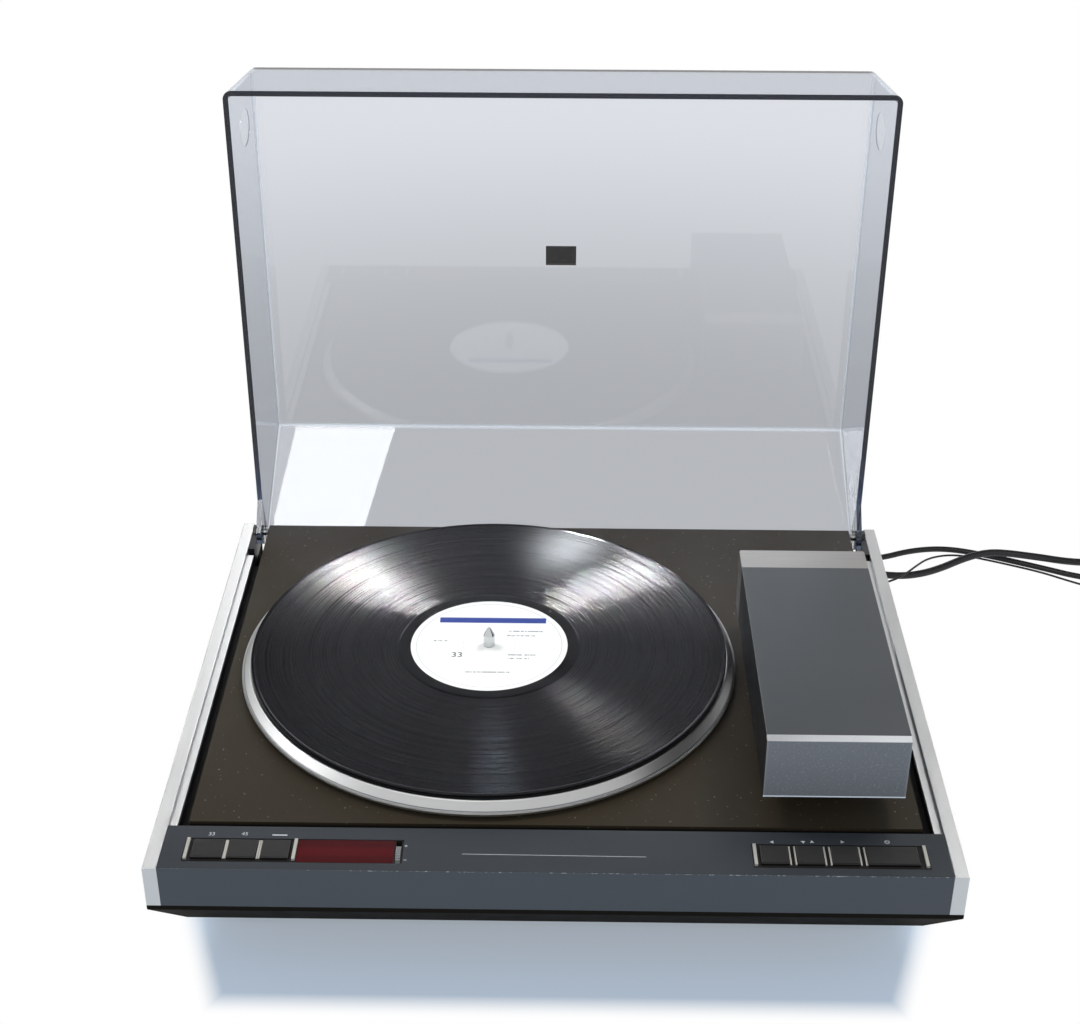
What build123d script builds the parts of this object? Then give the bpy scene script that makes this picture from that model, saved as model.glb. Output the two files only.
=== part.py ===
from build123d import *
import math
import os

# Direct drive turntable with a swinging linear arm and its smoked lid open.
# Millimetres, +Z up. The origin is on the table, under the middle of the open turntable.

os.makedirs("parts", exist_ok=True)

# Body
body_width = 453.3
body_depth = 368.5
rail_top = 75.0
rail_width = 8.0
rail_height = 27.0
ledge_width = 4.6
ledge_drop = 2.5
ledge_thickness = 3.0
panel_depth = 36.0
panel_wall = 2.5
deck_thickness = 2.0
deck_gap_front = 4.6
deck_gap_side = 6.25
rear_step = 1.0

# Hinge and lid
hinge_inset = 7.25
hinge_drop = 2.25
lid_rise = 62.0
lid_open_angle = 90.0
lid_rim_depth = 5.0
lid_wall = 3.5
lid_draft = 5.4
lid_side_gap = 0.5
lid_front_gap = 0.6
lid_corner_radius = 6.0
lid_fold_inset = 62.5
lid_rear_edge_rise = 6.0
lid_rear_edge_inset = 7.0
ear_drop = 21.0
ear_width = 8.5
ear_start = 27.95
hinge_radius = 7.0
hinge_pin_radius = 2.5
hinge_clearance = 0.05

# Tray and feet
tray_lip = 3.0
tray_inset = 17.3
tray_wall = 3.0
tray_taper_height = 21.5
rim_wall = 4.0
foot_radius = 19.0
foot_pad_radius = 15.0
foot_pad_height = 6.0
foot_inset_x = 46.0
foot_inset_y = 66.0
screw_radius = 2.0
screw_head_radius = 3.6
screw_head_height = 2.2
boss_radius = 5.0

# Spindle, platter and record
spindle_x = -43.35
spindle_from_front = 201.5
spindle_radius = 3.58
spindle_rise = 24.7
platter_rim_width = 5.5
platter_lip_gap = 0.6
platter_foot_rise = 1.2
platter_lip_rise = 8.9
mat_thickness = 2.4
mat_seat_rise = 7.6
mat_inset = 0.6
record_radius = 150.8
lead_in = 4.5
record_thickness = 2.0
label_radius = 50.0
label_thickness = 0.12
motor_radius = 55.0
bearing_radius = 9.0
shaft_radius = 5.0

# Arm box
arm_pivot_from_spindle = 200.7
arm_pivot_from_front = 231.5
arm_left_reach = 40.2
arm_right_reach = 40.2
arm_tip_clearance = 18.83
arm_rear_reach = 16.0
arm_clearance = 15.3
arm_height = 40.7
arm_wall = 2.0
arm_cap_depth = 5.0
arm_strip_depth = 20.5
post_radius = 9.0
post_collar_radius = 22.0
stylus_offset = 22.0
tonearm_reach = 38.0
rod_radius = 2.0
pulley_radius = 6.0

# Clearances
running_gap = 0.05
seat_gap = 0.3
button_gap = 0.25

# Levels and outlines worked out from the sizes above
lid_overhang = lid_rise + hinge_drop - hinge_inset
front_y = -(body_depth + lid_overhang) / 2
rear_y = front_y + body_depth
body_mid_y = (front_y + rear_y) / 2
rail_inner = body_width / 2 - rail_width
ledge_inner = rail_inner - ledge_width
deck_half = ledge_inner - deck_gap_side
shelf_top = rail_top - panel_wall
ledge_top = rail_top - ledge_drop
ledge_bottom = ledge_top - ledge_thickness
deck_top = shelf_top + deck_thickness
tray_top = rail_top - rail_height
lip_bottom = tray_top - tray_lip
tray_bottom = lip_bottom - tray_taper_height
tray_floor = tray_bottom + tray_wall
channel_depth = 9.0
frame_floor = 2.5
channel_floor = shelf_top - channel_depth
frame_bottom = channel_floor - frame_floor
panel_rear = front_y + panel_depth
deck_front = panel_rear + deck_gap_front
deck_rear = rear_y - rear_step
hinge_y = rear_y - hinge_inset
hinge_z = rail_top - hinge_drop
notch_front = hinge_y - 31.75
spindle_y = front_y + spindle_from_front
arm_pivot_x = spindle_x + arm_pivot_from_spindle
platter_lip_radius = record_radius + platter_lip_gap
platter_radius = platter_lip_radius + platter_rim_width
mat_radius = record_radius - mat_inset
first_groove = record_radius - lead_in


def block(x_low, x_high, y_low, y_high, z_low, z_high, mode=Mode.ADD):
    # A box between six planes, for use inside a part's own block.
    with BuildSketch(Plane.XY.offset(z_low)) as outline:
        with Locations(((x_low + x_high) / 2, (y_low + y_high) / 2)):
            Rectangle(x_high - x_low, y_high - y_low)
    extrude(outline.sketch, amount=z_high - z_low, mode=mode)


def disc(x, y, radius, z_low, z_high, mode=Mode.ADD):
    # A round bar along Z.
    with BuildSketch(Plane.XY.offset(z_low)) as outline:
        with Locations((x, y)):
            Circle(radius)
    extrude(outline.sketch, amount=z_high - z_low, mode=mode)


def save(builder, name):
    builder.part.label = name
    export_step(builder.part, f"parts/{name}.step")


# Cord outlets: holes square to the tapered rear wall of the tray
outlet_z = 36.0
outlet_depth = 8.0
mains_outlet_x = 172.0
audio_outlet_x = 140.0
earth_outlet_x = 190.0
mains_neck_radius = 6.0
audio_neck_radius = 5.0
earth_neck_radius = 2.4
outlets = (
    (mains_outlet_x, mains_neck_radius),
    (audio_outlet_x, audio_neck_radius),
    (earth_outlet_x, earth_neck_radius),
)
taper_run = math.hypot(tray_inset, tray_taper_height)
outlet_way = (0, tray_taper_height / taper_run, -tray_inset / taper_run)
outlet_y = rear_y - tray_inset * (lip_bottom - outlet_z) / tray_taper_height


def outlet_point(x, out):
    # The point on a cord's way out, a distance outside the tray's rear wall.
    return (x, outlet_y + out * outlet_way[1], outlet_z + out * outlet_way[2])


def outlet_plane(x, out):
    return Plane(origin=outlet_point(x, out), x_dir=(1, 0, 0), z_dir=outlet_way)


# Base tray: tapered black moulding with a lip under the rails and a rim that carries the frame
ring_front = front_y + panel_wall
ring_rear = deck_rear - panel_wall
ring_mid_y = (ring_front + ring_rear) / 2
ring_depth = ring_rear - ring_front
frame_front = panel_rear - 9.0
boss_x = deck_half - 3.8
boss_places = [
    (side * boss_x, y)
    for side in (-1, 1)
    for y in (deck_front + 4.0, body_mid_y, notch_front - 12.0)
]
board_x = 120.0
board_y = 70.0
board_width = 130.0
board_depth = 100.0
board_rise = 8.0
board_places = [
    (board_x + sx * (board_width / 2 - 7.0), board_y + sy * (board_depth / 2 - 7.0))
    for sx in (-1, 1)
    for sy in (-1, 1)
]
with BuildPart() as base_tray:
    with BuildSketch(Plane.XY.offset(tray_bottom)):
        with Locations((0, body_mid_y)):
            Rectangle(body_width - 2 * tray_inset, body_depth - 2 * tray_inset)
    with BuildSketch(Plane.XY.offset(lip_bottom)):
        with Locations((0, body_mid_y)):
            Rectangle(body_width, body_depth)
    loft()
    block(-body_width / 2, body_width / 2, front_y, rear_y, lip_bottom, tray_top)
    with BuildSketch(Plane.XY.offset(tray_floor)):
        with Locations((0, body_mid_y)):
            Rectangle(
                body_width - 2 * (tray_inset + tray_wall),
                body_depth - 2 * (tray_inset + tray_wall),
            )
    with BuildSketch(Plane.XY.offset(lip_bottom)):
        with Locations((0, body_mid_y)):
            Rectangle(body_width - 4 * tray_wall, body_depth - 4 * tray_wall)
    loft(mode=Mode.SUBTRACT)
    block(
        -rail_inner + rim_wall,
        rail_inner - rim_wall,
        ring_front + rim_wall,
        ring_rear - rim_wall,
        lip_bottom,
        tray_top,
        Mode.SUBTRACT,
    )
    with BuildSketch(Plane.XY.offset(tray_top)):
        with Locations((0, ring_mid_y)):
            Rectangle(2 * rail_inner, ring_depth)
            Rectangle(2 * (rail_inner - rim_wall), ring_depth - 2 * rim_wall, mode=Mode.SUBTRACT)
    extrude(amount=frame_bottom - tray_top)
    for side in (-1, 1):
        inner_x, outer_x = sorted((side * deck_half, side * ledge_inner))
        block(inner_x, outer_x, notch_front, ring_rear, tray_top, frame_bottom, Mode.SUBTRACT)
    with BuildSketch(Plane.XY.offset(tray_floor)):
        with Locations(*boss_places):
            Circle(boss_radius)
    extrude(amount=frame_bottom - tray_floor)
    with BuildSketch(Plane.XY.offset(tray_floor)):
        with Locations(*board_places):
            Circle(boss_radius)
    extrude(amount=board_rise)
    with BuildSketch(Plane.XY.offset(tray_bottom)):
        with Locations(*boss_places):
            Circle(screw_radius)
    extrude(amount=frame_bottom - tray_bottom, mode=Mode.SUBTRACT)
    for outlet_x, neck_radius in outlets:
        with BuildSketch(outlet_plane(outlet_x, 0)):
            Circle(neck_radius)
        extrude(amount=-outlet_depth, mode=Mode.SUBTRACT)
save(base_tray, "base_tray")

# Tray screws: pan heads under the tray, shanks up its bosses into the frame
screw_bite = 2.0
with BuildPart() as tray_screws:
    with BuildSketch(Plane.XY.offset(tray_bottom)):
        with Locations(*boss_places):
            Circle(screw_radius)
    extrude(amount=frame_bottom + screw_bite - tray_bottom)
    with BuildSketch(Plane.XY.offset(tray_bottom)):
        with Locations(*boss_places):
            Circle(screw_head_radius)
    extrude(amount=-screw_head_height)
save(tray_screws, "tray_screws")

# Feet: a moulded cup on the tray and a rubber pad in it
foot_x = body_width / 2 - foot_inset_x
foot_places = [
    (side * foot_x, y) for side in (-1, 1) for y in (front_y + foot_inset_y, rear_y - foot_inset_y)
]
with BuildPart() as foot_cups:
    with BuildSketch(Plane.XY.offset(foot_pad_height - 2.0)):
        with Locations(*foot_places):
            Circle(foot_radius - 2.0)
    extrude(amount=tray_bottom - foot_pad_height + 2.0)
    chamfer(foot_cups.edges().group_by(Axis.Z)[0].filter_by(GeomType.CIRCLE), 1.0)
    with BuildSketch(Plane.XY.offset(tray_bottom - 4.0)):
        with Locations(*foot_places):
            Circle(foot_radius)
    extrude(amount=4.0)
    with BuildSketch(Plane.XY.offset(foot_pad_height - 2.0)):
        with Locations(*foot_places):
            Circle(foot_pad_radius)
    extrude(amount=2.0, mode=Mode.SUBTRACT)
save(foot_cups, "foot_cups")

with BuildPart() as foot_pads:
    with BuildSketch(Plane.XY):
        with Locations(*foot_places):
            Circle(foot_pad_radius)
    extrude(amount=foot_pad_height)
    chamfer(foot_pads.edges().group_by(Axis.Z)[0].filter_by(GeomType.CIRCLE), 0.8)
save(foot_pads, "foot_pads")

# Deck frame: black moulding with the channel that the closed lid's walls drop into
frame_leg = 8.0
with BuildPart() as deck_frame:
    block(-rail_inner, rail_inner, frame_front, ring_rear, frame_bottom, shelf_top)
    block(
        -deck_half + frame_leg,
        deck_half - frame_leg,
        deck_front + frame_leg,
        ring_rear - frame_leg,
        frame_bottom,
        shelf_top,
        Mode.SUBTRACT,
    )
    block(-ledge_inner, ledge_inner, panel_rear, deck_front, channel_floor, shelf_top, Mode.SUBTRACT)
    for side in (-1, 1):
        inner_x, outer_x = sorted((side * deck_half, side * ledge_inner))
        block(inner_x, outer_x, panel_rear, ring_rear, channel_floor, shelf_top, Mode.SUBTRACT)
        inner_x, outer_x = sorted((side * ledge_inner, side * rail_inner))
        block(inner_x, outer_x, panel_rear, ring_rear, ledge_bottom, shelf_top, Mode.SUBTRACT)
        inner_x, outer_x = sorted((side * deck_half, side * rail_inner))
        block(inner_x, outer_x, notch_front, ring_rear, frame_bottom, shelf_top, Mode.SUBTRACT)
    with BuildSketch(Plane.XY.offset(frame_bottom)):
        with Locations(*boss_places):
            Circle(screw_radius)
    extrude(amount=screw_bite, mode=Mode.SUBTRACT)
save(deck_frame, "deck_frame")

# Deck plate: painted sheet with holes for the motor and the arm post
arm_pivot_y = front_y + arm_pivot_from_front
with BuildPart() as deck_plate:
    block(-deck_half, deck_half, deck_front, deck_rear, shelf_top, deck_top)
    disc(spindle_x, spindle_y, motor_radius - 5.0, shelf_top, deck_top, Mode.SUBTRACT)
    disc(arm_pivot_x, arm_pivot_y, post_radius + seat_gap, shelf_top, deck_top, Mode.SUBTRACT)
    fillet(deck_plate.edges().filter_by(Axis.Z).group_by(Axis.Y)[0], 1.5)
save(deck_plate, "deck_plate")

# Side rails: aluminium bars with a ledge beside the lid and a slot that opens downwards
rail_slot = 3.0
rail_slot_end = 6.0
for side, name in ((-1, "left_rail"), (1, "right_rail")):
    with BuildPart() as rail:
        x_low, x_high = sorted((side * rail_inner, side * body_width / 2))
        block(x_low, x_high, front_y, rear_y, tray_top, rail_top)
        fillet(rail.edges().filter_by(Axis.Y).group_by(Axis.Z)[-1], 0.6)
        x_low, x_high = sorted((side * ledge_inner, side * rail_inner))
        block(x_low, x_high, panel_rear, notch_front, ledge_bottom, ledge_top)
        slot_mid = side * (rail_inner + rail_width / 2)
        block(
            slot_mid - rail_slot / 2,
            slot_mid + rail_slot / 2,
            front_y + rail_slot_end,
            rear_y - rail_slot_end,
            tray_top,
            rail_top - rail_slot,
            Mode.SUBTRACT,
        )
    save(rail, name)

# Rear panel, between the ears of the lid
rear_panel_half = deck_half - 0.6
with BuildPart() as rear_panel:
    block(-rear_panel_half, rear_panel_half, ring_rear, deck_rear, tray_top, shelf_top)
save(rear_panel, "rear_panel")

# Front panel and its controls, laid out from the spindle's centre line
control_y = front_y + 16.5
button_depth = 15.0
button_pitch_top = 0.9
bezel_thickness = 5.0
bezel_drop = 0.4
bezel_top = rail_top - bezel_drop
bezel_bottom = bezel_top - bezel_thickness
left_margin = 12.45
left_width = 122.0
right_margin = 11.65
right_width = 97.6
left_start = -rail_inner + left_margin
right_start = rail_inner - right_margin - right_width
left_group = (left_start, left_start + left_width)
right_group = (right_start, right_start + right_width)
group_depth = 19.6
group_y = front_y + 16.0
button_spans = {
    "speed_33_button": (left_start + 4.6, left_start + 22.0),
    "speed_45_button": (left_start + 24.6, left_start + 40.6),
    "fine_speed_button": (left_start + 43.4, left_start + 59.0),
    "move_out_button": (right_start + 4.4, right_start + 20.0),
    "lift_button": (right_start + 24.6, right_start + 39.4),
    "move_in_button": (right_start + 44.0, right_start + 58.8),
    "power_button": (right_start + 63.4, right_start + 92.0),
}
window_width = 54.0
window_start = left_start + 63.0
window_span = (window_start, window_start + window_width)
window_depth = 18.6
window_thickness = 3.0
wheel_x = window_span[1] + 2.3
wheel_thickness = 2.8
wheel_radius = 9.0
wheel_rise = 0.9
wheel_z = rail_top + wheel_rise - wheel_radius
wheel_slot = wheel_thickness + 2 * button_gap
wheel_bore = 1.5

with BuildPart() as front_panel:
    block(-rail_inner, rail_inner, front_y, panel_rear, shelf_top, rail_top)
    block(-rail_inner, rail_inner, front_y, front_y + panel_wall, tray_top, shelf_top)
    fillet(front_panel.edges().filter_by(Axis.X).group_by(Axis.Z)[-1].sort_by(Axis.Y)[0], 0.8)
    for x_low, x_high in (left_group, right_group):
        block(
            x_low,
            x_high,
            group_y - group_depth / 2,
            group_y + group_depth / 2,
            shelf_top,
            rail_top,
            Mode.SUBTRACT,
        )
save(front_panel, "front_panel")

# Bezels: mouldings that fill the panel's windows and guide the buttons
with BuildPart() as panel_bezels:
    for x_low, x_high in (left_group, right_group):
        y_low = group_y - group_depth / 2
        y_high = group_y + group_depth / 2
        block(x_low, x_high, y_low, y_high, shelf_top, bezel_top)
        block(x_low - 1.0, x_high + 1.0, y_low - 1.0, y_high + 1.0, bezel_bottom, shelf_top)
    for x_low, x_high in button_spans.values():
        block(
            x_low - button_gap,
            x_high + button_gap,
            control_y - button_depth / 2 - button_gap,
            control_y + button_depth / 2 + button_gap,
            bezel_bottom,
            bezel_top,
            Mode.SUBTRACT,
        )
    block(
        window_span[0],
        window_span[1],
        group_y - window_depth / 2,
        group_y + window_depth / 2,
        bezel_bottom,
        bezel_top,
        Mode.SUBTRACT,
    )
    block(
        wheel_x - wheel_slot / 2,
        wheel_x + wheel_slot / 2,
        group_y - window_depth / 2,
        group_y + window_depth / 2,
        bezel_bottom,
        bezel_top,
        Mode.SUBTRACT,
    )
save(panel_bezels, "panel_bezels")

# Trim bars: bright strips at the ends of each group, and thin pairs between the buttons
end_bar_width = 1.8
end_bar_rise = 1.5
thin_bar_width = 0.9
thin_bar_rise = 0.6
thin_bar_inset = 0.15
end_bar_inset = 1.6
window_bar_gap = 1.3
with BuildPart() as trim_bars:
    for bar_x in (
        left_group[0] + end_bar_inset,
        window_span[0] - window_bar_gap,
        right_group[0] + end_bar_inset,
        right_group[1] - end_bar_inset,
    ):
        block(
            bar_x - end_bar_width / 2,
            bar_x + end_bar_width / 2,
            control_y - button_depth / 2 - 1.0,
            control_y + button_depth / 2 + 1.0,
            bezel_top,
            bezel_top + end_bar_rise,
        )
    ordered = list(button_spans.values())
    for span, following in zip(ordered, ordered[1:]):
        if following[0] - span[1] > end_bar_width * 4:
            continue
        for bar_x in (
            span[1] + button_gap + thin_bar_inset + thin_bar_width / 2,
            following[0] - button_gap - thin_bar_inset - thin_bar_width / 2,
        ):
            block(
                bar_x - thin_bar_width / 2,
                bar_x + thin_bar_width / 2,
                control_y - button_depth / 2,
                control_y + button_depth / 2,
                bezel_top,
                bezel_top + thin_bar_rise,
            )
save(trim_bars, "trim_bars")

# Push buttons: caps with a stem that reaches down to the switch on the board
button_top = rail_top + button_pitch_top
cap_height = 4.4
button_travel = 2.0
stem_radius = 2.0
board_top = frame_bottom + 1.6
switch_top = board_top + 3.4
for name, (x_low, x_high) in button_spans.items():
    with BuildPart() as button:
        block(
            x_low,
            x_high,
            control_y - button_depth / 2,
            control_y + button_depth / 2,
            button_top - cap_height,
            button_top,
        )
        fillet(button.edges().group_by(Axis.Z)[-1], 0.5)
        disc(
            (x_low + x_high) / 2,
            control_y,
            stem_radius,
            switch_top + button_travel + seat_gap,
            button_top - cap_height,
        )
    save(button, name)

# Display window: red filter that stands on the display module
window_top = rail_top - 0.2
with BuildPart() as display_window:
    block(
        window_span[0],
        window_span[1],
        group_y - window_depth / 2,
        group_y + window_depth / 2,
        window_top - window_thickness,
        window_top,
    )
save(display_window, "display_window")

# Panel board: circuit board with a switch under each button and the display module
with BuildPart() as panel_board:
    block(
        left_group[0],
        right_group[1],
        ring_front,
        frame_front - 0.5,
        frame_bottom,
        board_top,
    )
    for x_low, x_high in button_spans.values():
        middle = (x_low + x_high) / 2
        block(middle - 3, middle + 3, control_y - 3, control_y + 3, board_top, switch_top)
    block(
        window_span[0] + 1.0,
        window_span[1] - 1.0,
        group_y - window_depth / 2 + 1.0,
        group_y + window_depth / 2 - 1.0,
        board_top,
        window_top - window_thickness,
    )
    block(
        wheel_x - wheel_thickness / 2 - 1.0,
        wheel_x + wheel_thickness / 2 + 1.0,
        group_y - wheel_radius - 1.0,
        frame_front,
        frame_bottom,
        board_top,
        Mode.SUBTRACT,
    )
save(panel_board, "panel_board")

# Fine speed wheel: ribbed wheel on the stub of its control, which is fixed to the board
rib_count = 36
control_x = wheel_x + wheel_thickness / 2 + 1.2
with BuildPart() as fine_speed_wheel:
    with BuildSketch(Plane.YZ.offset(wheel_x - wheel_thickness / 2)):
        with Locations((group_y, wheel_z)):
            Circle(wheel_radius - 0.4)
            with PolarLocations(wheel_radius - 0.4, rib_count):
                Circle(0.4)
            Circle(wheel_bore + running_gap, mode=Mode.SUBTRACT)
    extrude(amount=wheel_thickness)
save(fine_speed_wheel, "fine_speed_wheel")

with BuildPart() as fine_speed_control:
    block(
        control_x,
        control_x + 6.0,
        group_y - 6.0,
        group_y + 6.0,
        board_top,
        wheel_z + 2.5,
    )
    with BuildSketch(Plane.YZ.offset(wheel_x - wheel_thickness / 2 - 1.0)):
        with Locations((group_y, wheel_z)):
            Circle(wheel_bore)
    extrude(amount=control_x - wheel_x + wheel_thickness / 2 + 1.0)
save(fine_speed_control, "fine_speed_control")

# Direct drive motor: a pan under the deck with its stator, a bearing, and the rotor that carries the platter
motor_flange = 6.0
motor_wall = 2.5
motor_bottom = tray_floor + 8.0
motor_inner = motor_radius - motor_wall
stator_outer = 42.0
stator_inner = 24.0
stator_top = motor_bottom + 24.0
rotor_gap = 1.5
rotor_outer = stator_outer + rotor_gap + 4.0
hub_radius = 30.0
hub_seat_z = rail_top + platter_foot_rise
rotor_disc_bottom = stator_top + rotor_gap
sleeve_top = rotor_disc_bottom - 0.5
sleeve_bottom = motor_bottom - 4.0
with BuildPart() as motor_stator:
    disc(spindle_x, spindle_y, motor_radius, motor_bottom, shelf_top)
    disc(spindle_x, spindle_y, motor_radius + motor_flange, shelf_top - 2.0, shelf_top)
    disc(spindle_x, spindle_y, motor_inner, motor_bottom + motor_wall, shelf_top, Mode.SUBTRACT)
    disc(spindle_x, spindle_y, stator_inner, motor_bottom + motor_wall, stator_top - 8.0)
    with BuildSketch(Plane.XY.offset(motor_bottom + 8.0)):
        with Locations((spindle_x, spindle_y)):
            Circle(stator_inner + 2.0)
            with PolarLocations((stator_inner + stator_outer) / 2, 12):
                Rectangle(stator_outer - stator_inner - 1.0, 8.0)
    extrude(amount=12.0)
    disc(spindle_x, spindle_y, bearing_radius, motor_bottom, stator_top, Mode.SUBTRACT)
save(motor_stator, "motor_stator")

with BuildPart() as bearing_sleeve:
    disc(spindle_x, spindle_y, bearing_radius, sleeve_bottom, sleeve_top)
    disc(spindle_x, spindle_y, bearing_radius + 4.0, sleeve_bottom, motor_bottom)
    disc(spindle_x, spindle_y, shaft_radius + running_gap, sleeve_bottom + 2.0, sleeve_top, Mode.SUBTRACT)
save(bearing_sleeve, "bearing_sleeve")

with BuildPart() as motor_rotor:
    disc(spindle_x, spindle_y, rotor_outer, motor_bottom + 6.0, rotor_disc_bottom + 3.0)
    disc(
        spindle_x,
        spindle_y,
        stator_outer + rotor_gap,
        motor_bottom + 6.0,
        rotor_disc_bottom,
        Mode.SUBTRACT,
    )
    disc(spindle_x, spindle_y, hub_radius, rotor_disc_bottom, hub_seat_z)
    disc(spindle_x, spindle_y, shaft_radius, rotor_disc_bottom, hub_seat_z, Mode.SUBTRACT)
save(motor_rotor, "motor_rotor")

record_bottom = rail_top + mat_seat_rise + mat_thickness
record_top = record_bottom + record_thickness
spindle_top = rail_top + spindle_rise
spindle_cone = 5.2
spindle_shoulder = 4.0
spindle_waist = 3.3
waist_top = record_top + 0.2
shaft_bottom = sleeve_bottom + 2.0 + seat_gap
with BuildPart() as spindle:
    disc(spindle_x, spindle_y, shaft_radius, shaft_bottom, hub_seat_z)
    disc(spindle_x, spindle_y, spindle_shoulder, hub_seat_z, record_bottom)
    disc(spindle_x, spindle_y, spindle_waist, record_bottom, waist_top)
    disc(spindle_x, spindle_y, spindle_radius, waist_top, spindle_top - spindle_cone)
    with BuildSketch(Plane.XY.offset(spindle_top - spindle_cone)):
        with Locations((spindle_x, spindle_y)):
            Circle(spindle_radius)
    with BuildSketch(Plane.XY.offset(spindle_top)):
        with Locations((spindle_x, spindle_y)):
            Circle(0.9)
    loft()
save(spindle, "spindle")

# Platter: cast dish with a sloping polished rim; the mat and the record lie on it
spindle_plane = Plane(origin=(spindle_x, spindle_y, rail_top), x_dir=(1, 0, 0), z_dir=(0, -1, 0))
platter_web = 4.0
platter_bore = spindle_shoulder + 0.02
with BuildPart() as platter:
    with BuildSketch(spindle_plane):
        with BuildLine():
            Polyline(
                (platter_bore, platter_foot_rise),
                (hub_radius + 5.0, platter_foot_rise),
                (hub_radius + 7.0, mat_seat_rise - platter_web),
                (platter_lip_radius - 7.0, mat_seat_rise - platter_web),
                (platter_lip_radius - 5.0, platter_foot_rise),
                (platter_radius - 0.4, platter_foot_rise),
                (platter_radius, platter_foot_rise + 0.4),
                (platter_radius, platter_foot_rise + 1.7),
                (platter_radius - 1.2, platter_foot_rise + 2.3),
                (platter_lip_radius + 0.5, platter_lip_rise - 0.5),
                (platter_lip_radius, platter_lip_rise),
                (mat_radius + 0.4, platter_lip_rise),
                (mat_radius + 0.4, mat_seat_rise),
                (platter_bore, mat_seat_rise),
                close=True,
            )
        make_face()
    revolve(axis=Axis((spindle_x, spindle_y, 0), (0, 0, 1)))
save(platter, "platter")

with BuildPart() as platter_mat:
    disc(spindle_x, spindle_y, mat_radius, rail_top + mat_seat_rise, record_bottom)
    disc(spindle_x, spindle_y, platter_bore, rail_top + mat_seat_rise, record_bottom, Mode.SUBTRACT)
save(platter_mat, "platter_mat")

record_hole = spindle_radius + running_gap
groove_inset = 0.25
label_land = 57.0
bead_width = 1.5
with BuildPart() as record:
    with BuildSketch(spindle_plane):
        with BuildLine():
            low = record_bottom - rail_top
            high = record_top - rail_top
            Polyline(
                (record_hole, low + label_thickness),
                (label_radius, low + label_thickness),
                (label_radius, low),
                (label_land, low),
                (label_land + 1.0, low + groove_inset),
                (record_radius - bead_width - 1.0, low + groove_inset),
                (record_radius - bead_width, low),
                (record_radius - 0.5, low),
                (record_radius, low + 0.5),
                (record_radius, high - 0.5),
                (record_radius - 0.5, high),
                (record_radius - bead_width, high),
                (record_radius - bead_width - 1.0, high - groove_inset),
                (label_land + 1.0, high - groove_inset),
                (label_land, high),
                (label_radius, high),
                (label_radius, high - label_thickness),
                (record_hole, high - label_thickness),
                close=True,
            )
        make_face()
    revolve(axis=Axis((spindle_x, spindle_y, 0), (0, 0, 1)))
save(record, "record")

with BuildPart() as record_label:
    for z_low in (record_bottom, record_top - label_thickness):
        disc(spindle_x, spindle_y, label_radius, z_low, z_low + label_thickness)
        disc(spindle_x, spindle_y, record_hole, z_low, z_low + label_thickness, Mode.SUBTRACT)
save(record_label, "record_label")

# Transformer: laminated core, winding and foot plate on the tray's floor
transformer_x = -150.0
transformer_y = 95.0
foot_plate_thickness = 2.0
core_height = 40.0
winding_margin = 6.0
with BuildPart() as transformer:
    for half_x, half_y, low, high in (
        (40.0, 26.0, 0.0, foot_plate_thickness),
        (29.0, 12.0, foot_plate_thickness, foot_plate_thickness + core_height),
        (17.0, 23.0, foot_plate_thickness + winding_margin, foot_plate_thickness + core_height - winding_margin),
    ):
        block(
            transformer_x - half_x,
            transformer_x + half_x,
            transformer_y - half_y,
            transformer_y + half_y,
            tray_floor + low,
            tray_floor + high,
        )
save(transformer, "transformer")

# Main board: circuit board on four posts, with capacitors, a heat sink and the sockets for the looms
board_seat = tray_floor + board_rise
board_thickness = 1.6
parts_z = board_seat + board_thickness
sink_x = board_x + 20.0
sink_y = board_y - 40.0
sink_width = 35.0
fin_count = 6
fin_pitch = 5.0
fin_thickness = 1.5
fin_height = 20.4
with BuildPart() as main_board:
    block(
        board_x - board_width / 2,
        board_x + board_width / 2,
        board_y - board_depth / 2,
        board_y + board_depth / 2,
        board_seat,
        parts_z,
    )
    for dx, dy, radius, height in ((-45, 30, 9, 22), (-22, 30, 9, 22), (0, 33, 6, 16), (-48, 0, 5, 12)):
        disc(board_x + dx, board_y + dy, radius, parts_z, parts_z + height)
    for fin in range(fin_count):
        fin_y = sink_y + fin_pitch * fin
        block(sink_x, sink_x + sink_width, fin_y, fin_y + fin_thickness, parts_z, parts_z + fin_height)
    sink_rear = sink_y + fin_pitch * (fin_count - 1) + fin_thickness
    block(sink_x, sink_x + sink_width, sink_y, sink_rear, parts_z, parts_z + 2.4)
    block(board_x - 20, board_x + 4, board_y - 12, board_y + 2, parts_z, parts_z + 3.4)
save(main_board, "main_board")

# Arm post: collar on the deck, shaft up into the arm box, and the nut under the deck
arm_bottom = rail_top + arm_clearance
arm_top = arm_bottom + arm_height
post_top = arm_top - arm_wall - 12.0
collar_top = arm_bottom - seat_gap
post_bottom = shelf_top - 9.0
with BuildPart() as arm_post:
    disc(arm_pivot_x, arm_pivot_y, post_radius, post_bottom, post_top)
    disc(arm_pivot_x, arm_pivot_y, post_collar_radius, deck_top, collar_top)
    chamfer(arm_post.faces().filter_by(Axis.Z).sort_by(Axis.Z)[-2].outer_wire().edges(), 0.8)
    with BuildSketch(Plane.XY.offset(shelf_top - 5.0)):
        with Locations((arm_pivot_x, arm_pivot_y)):
            RegularPolygon(radius=15.0, side_count=6)
    extrude(amount=5.0)
save(arm_post, "arm_post")


def arm_x(across):
    # Across the arm box: positive towards the record side while parked.
    return arm_pivot_x - across


def arm_y(along):
    # Along the arm box: distance forward of the pivot.
    return arm_pivot_y - along


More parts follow.
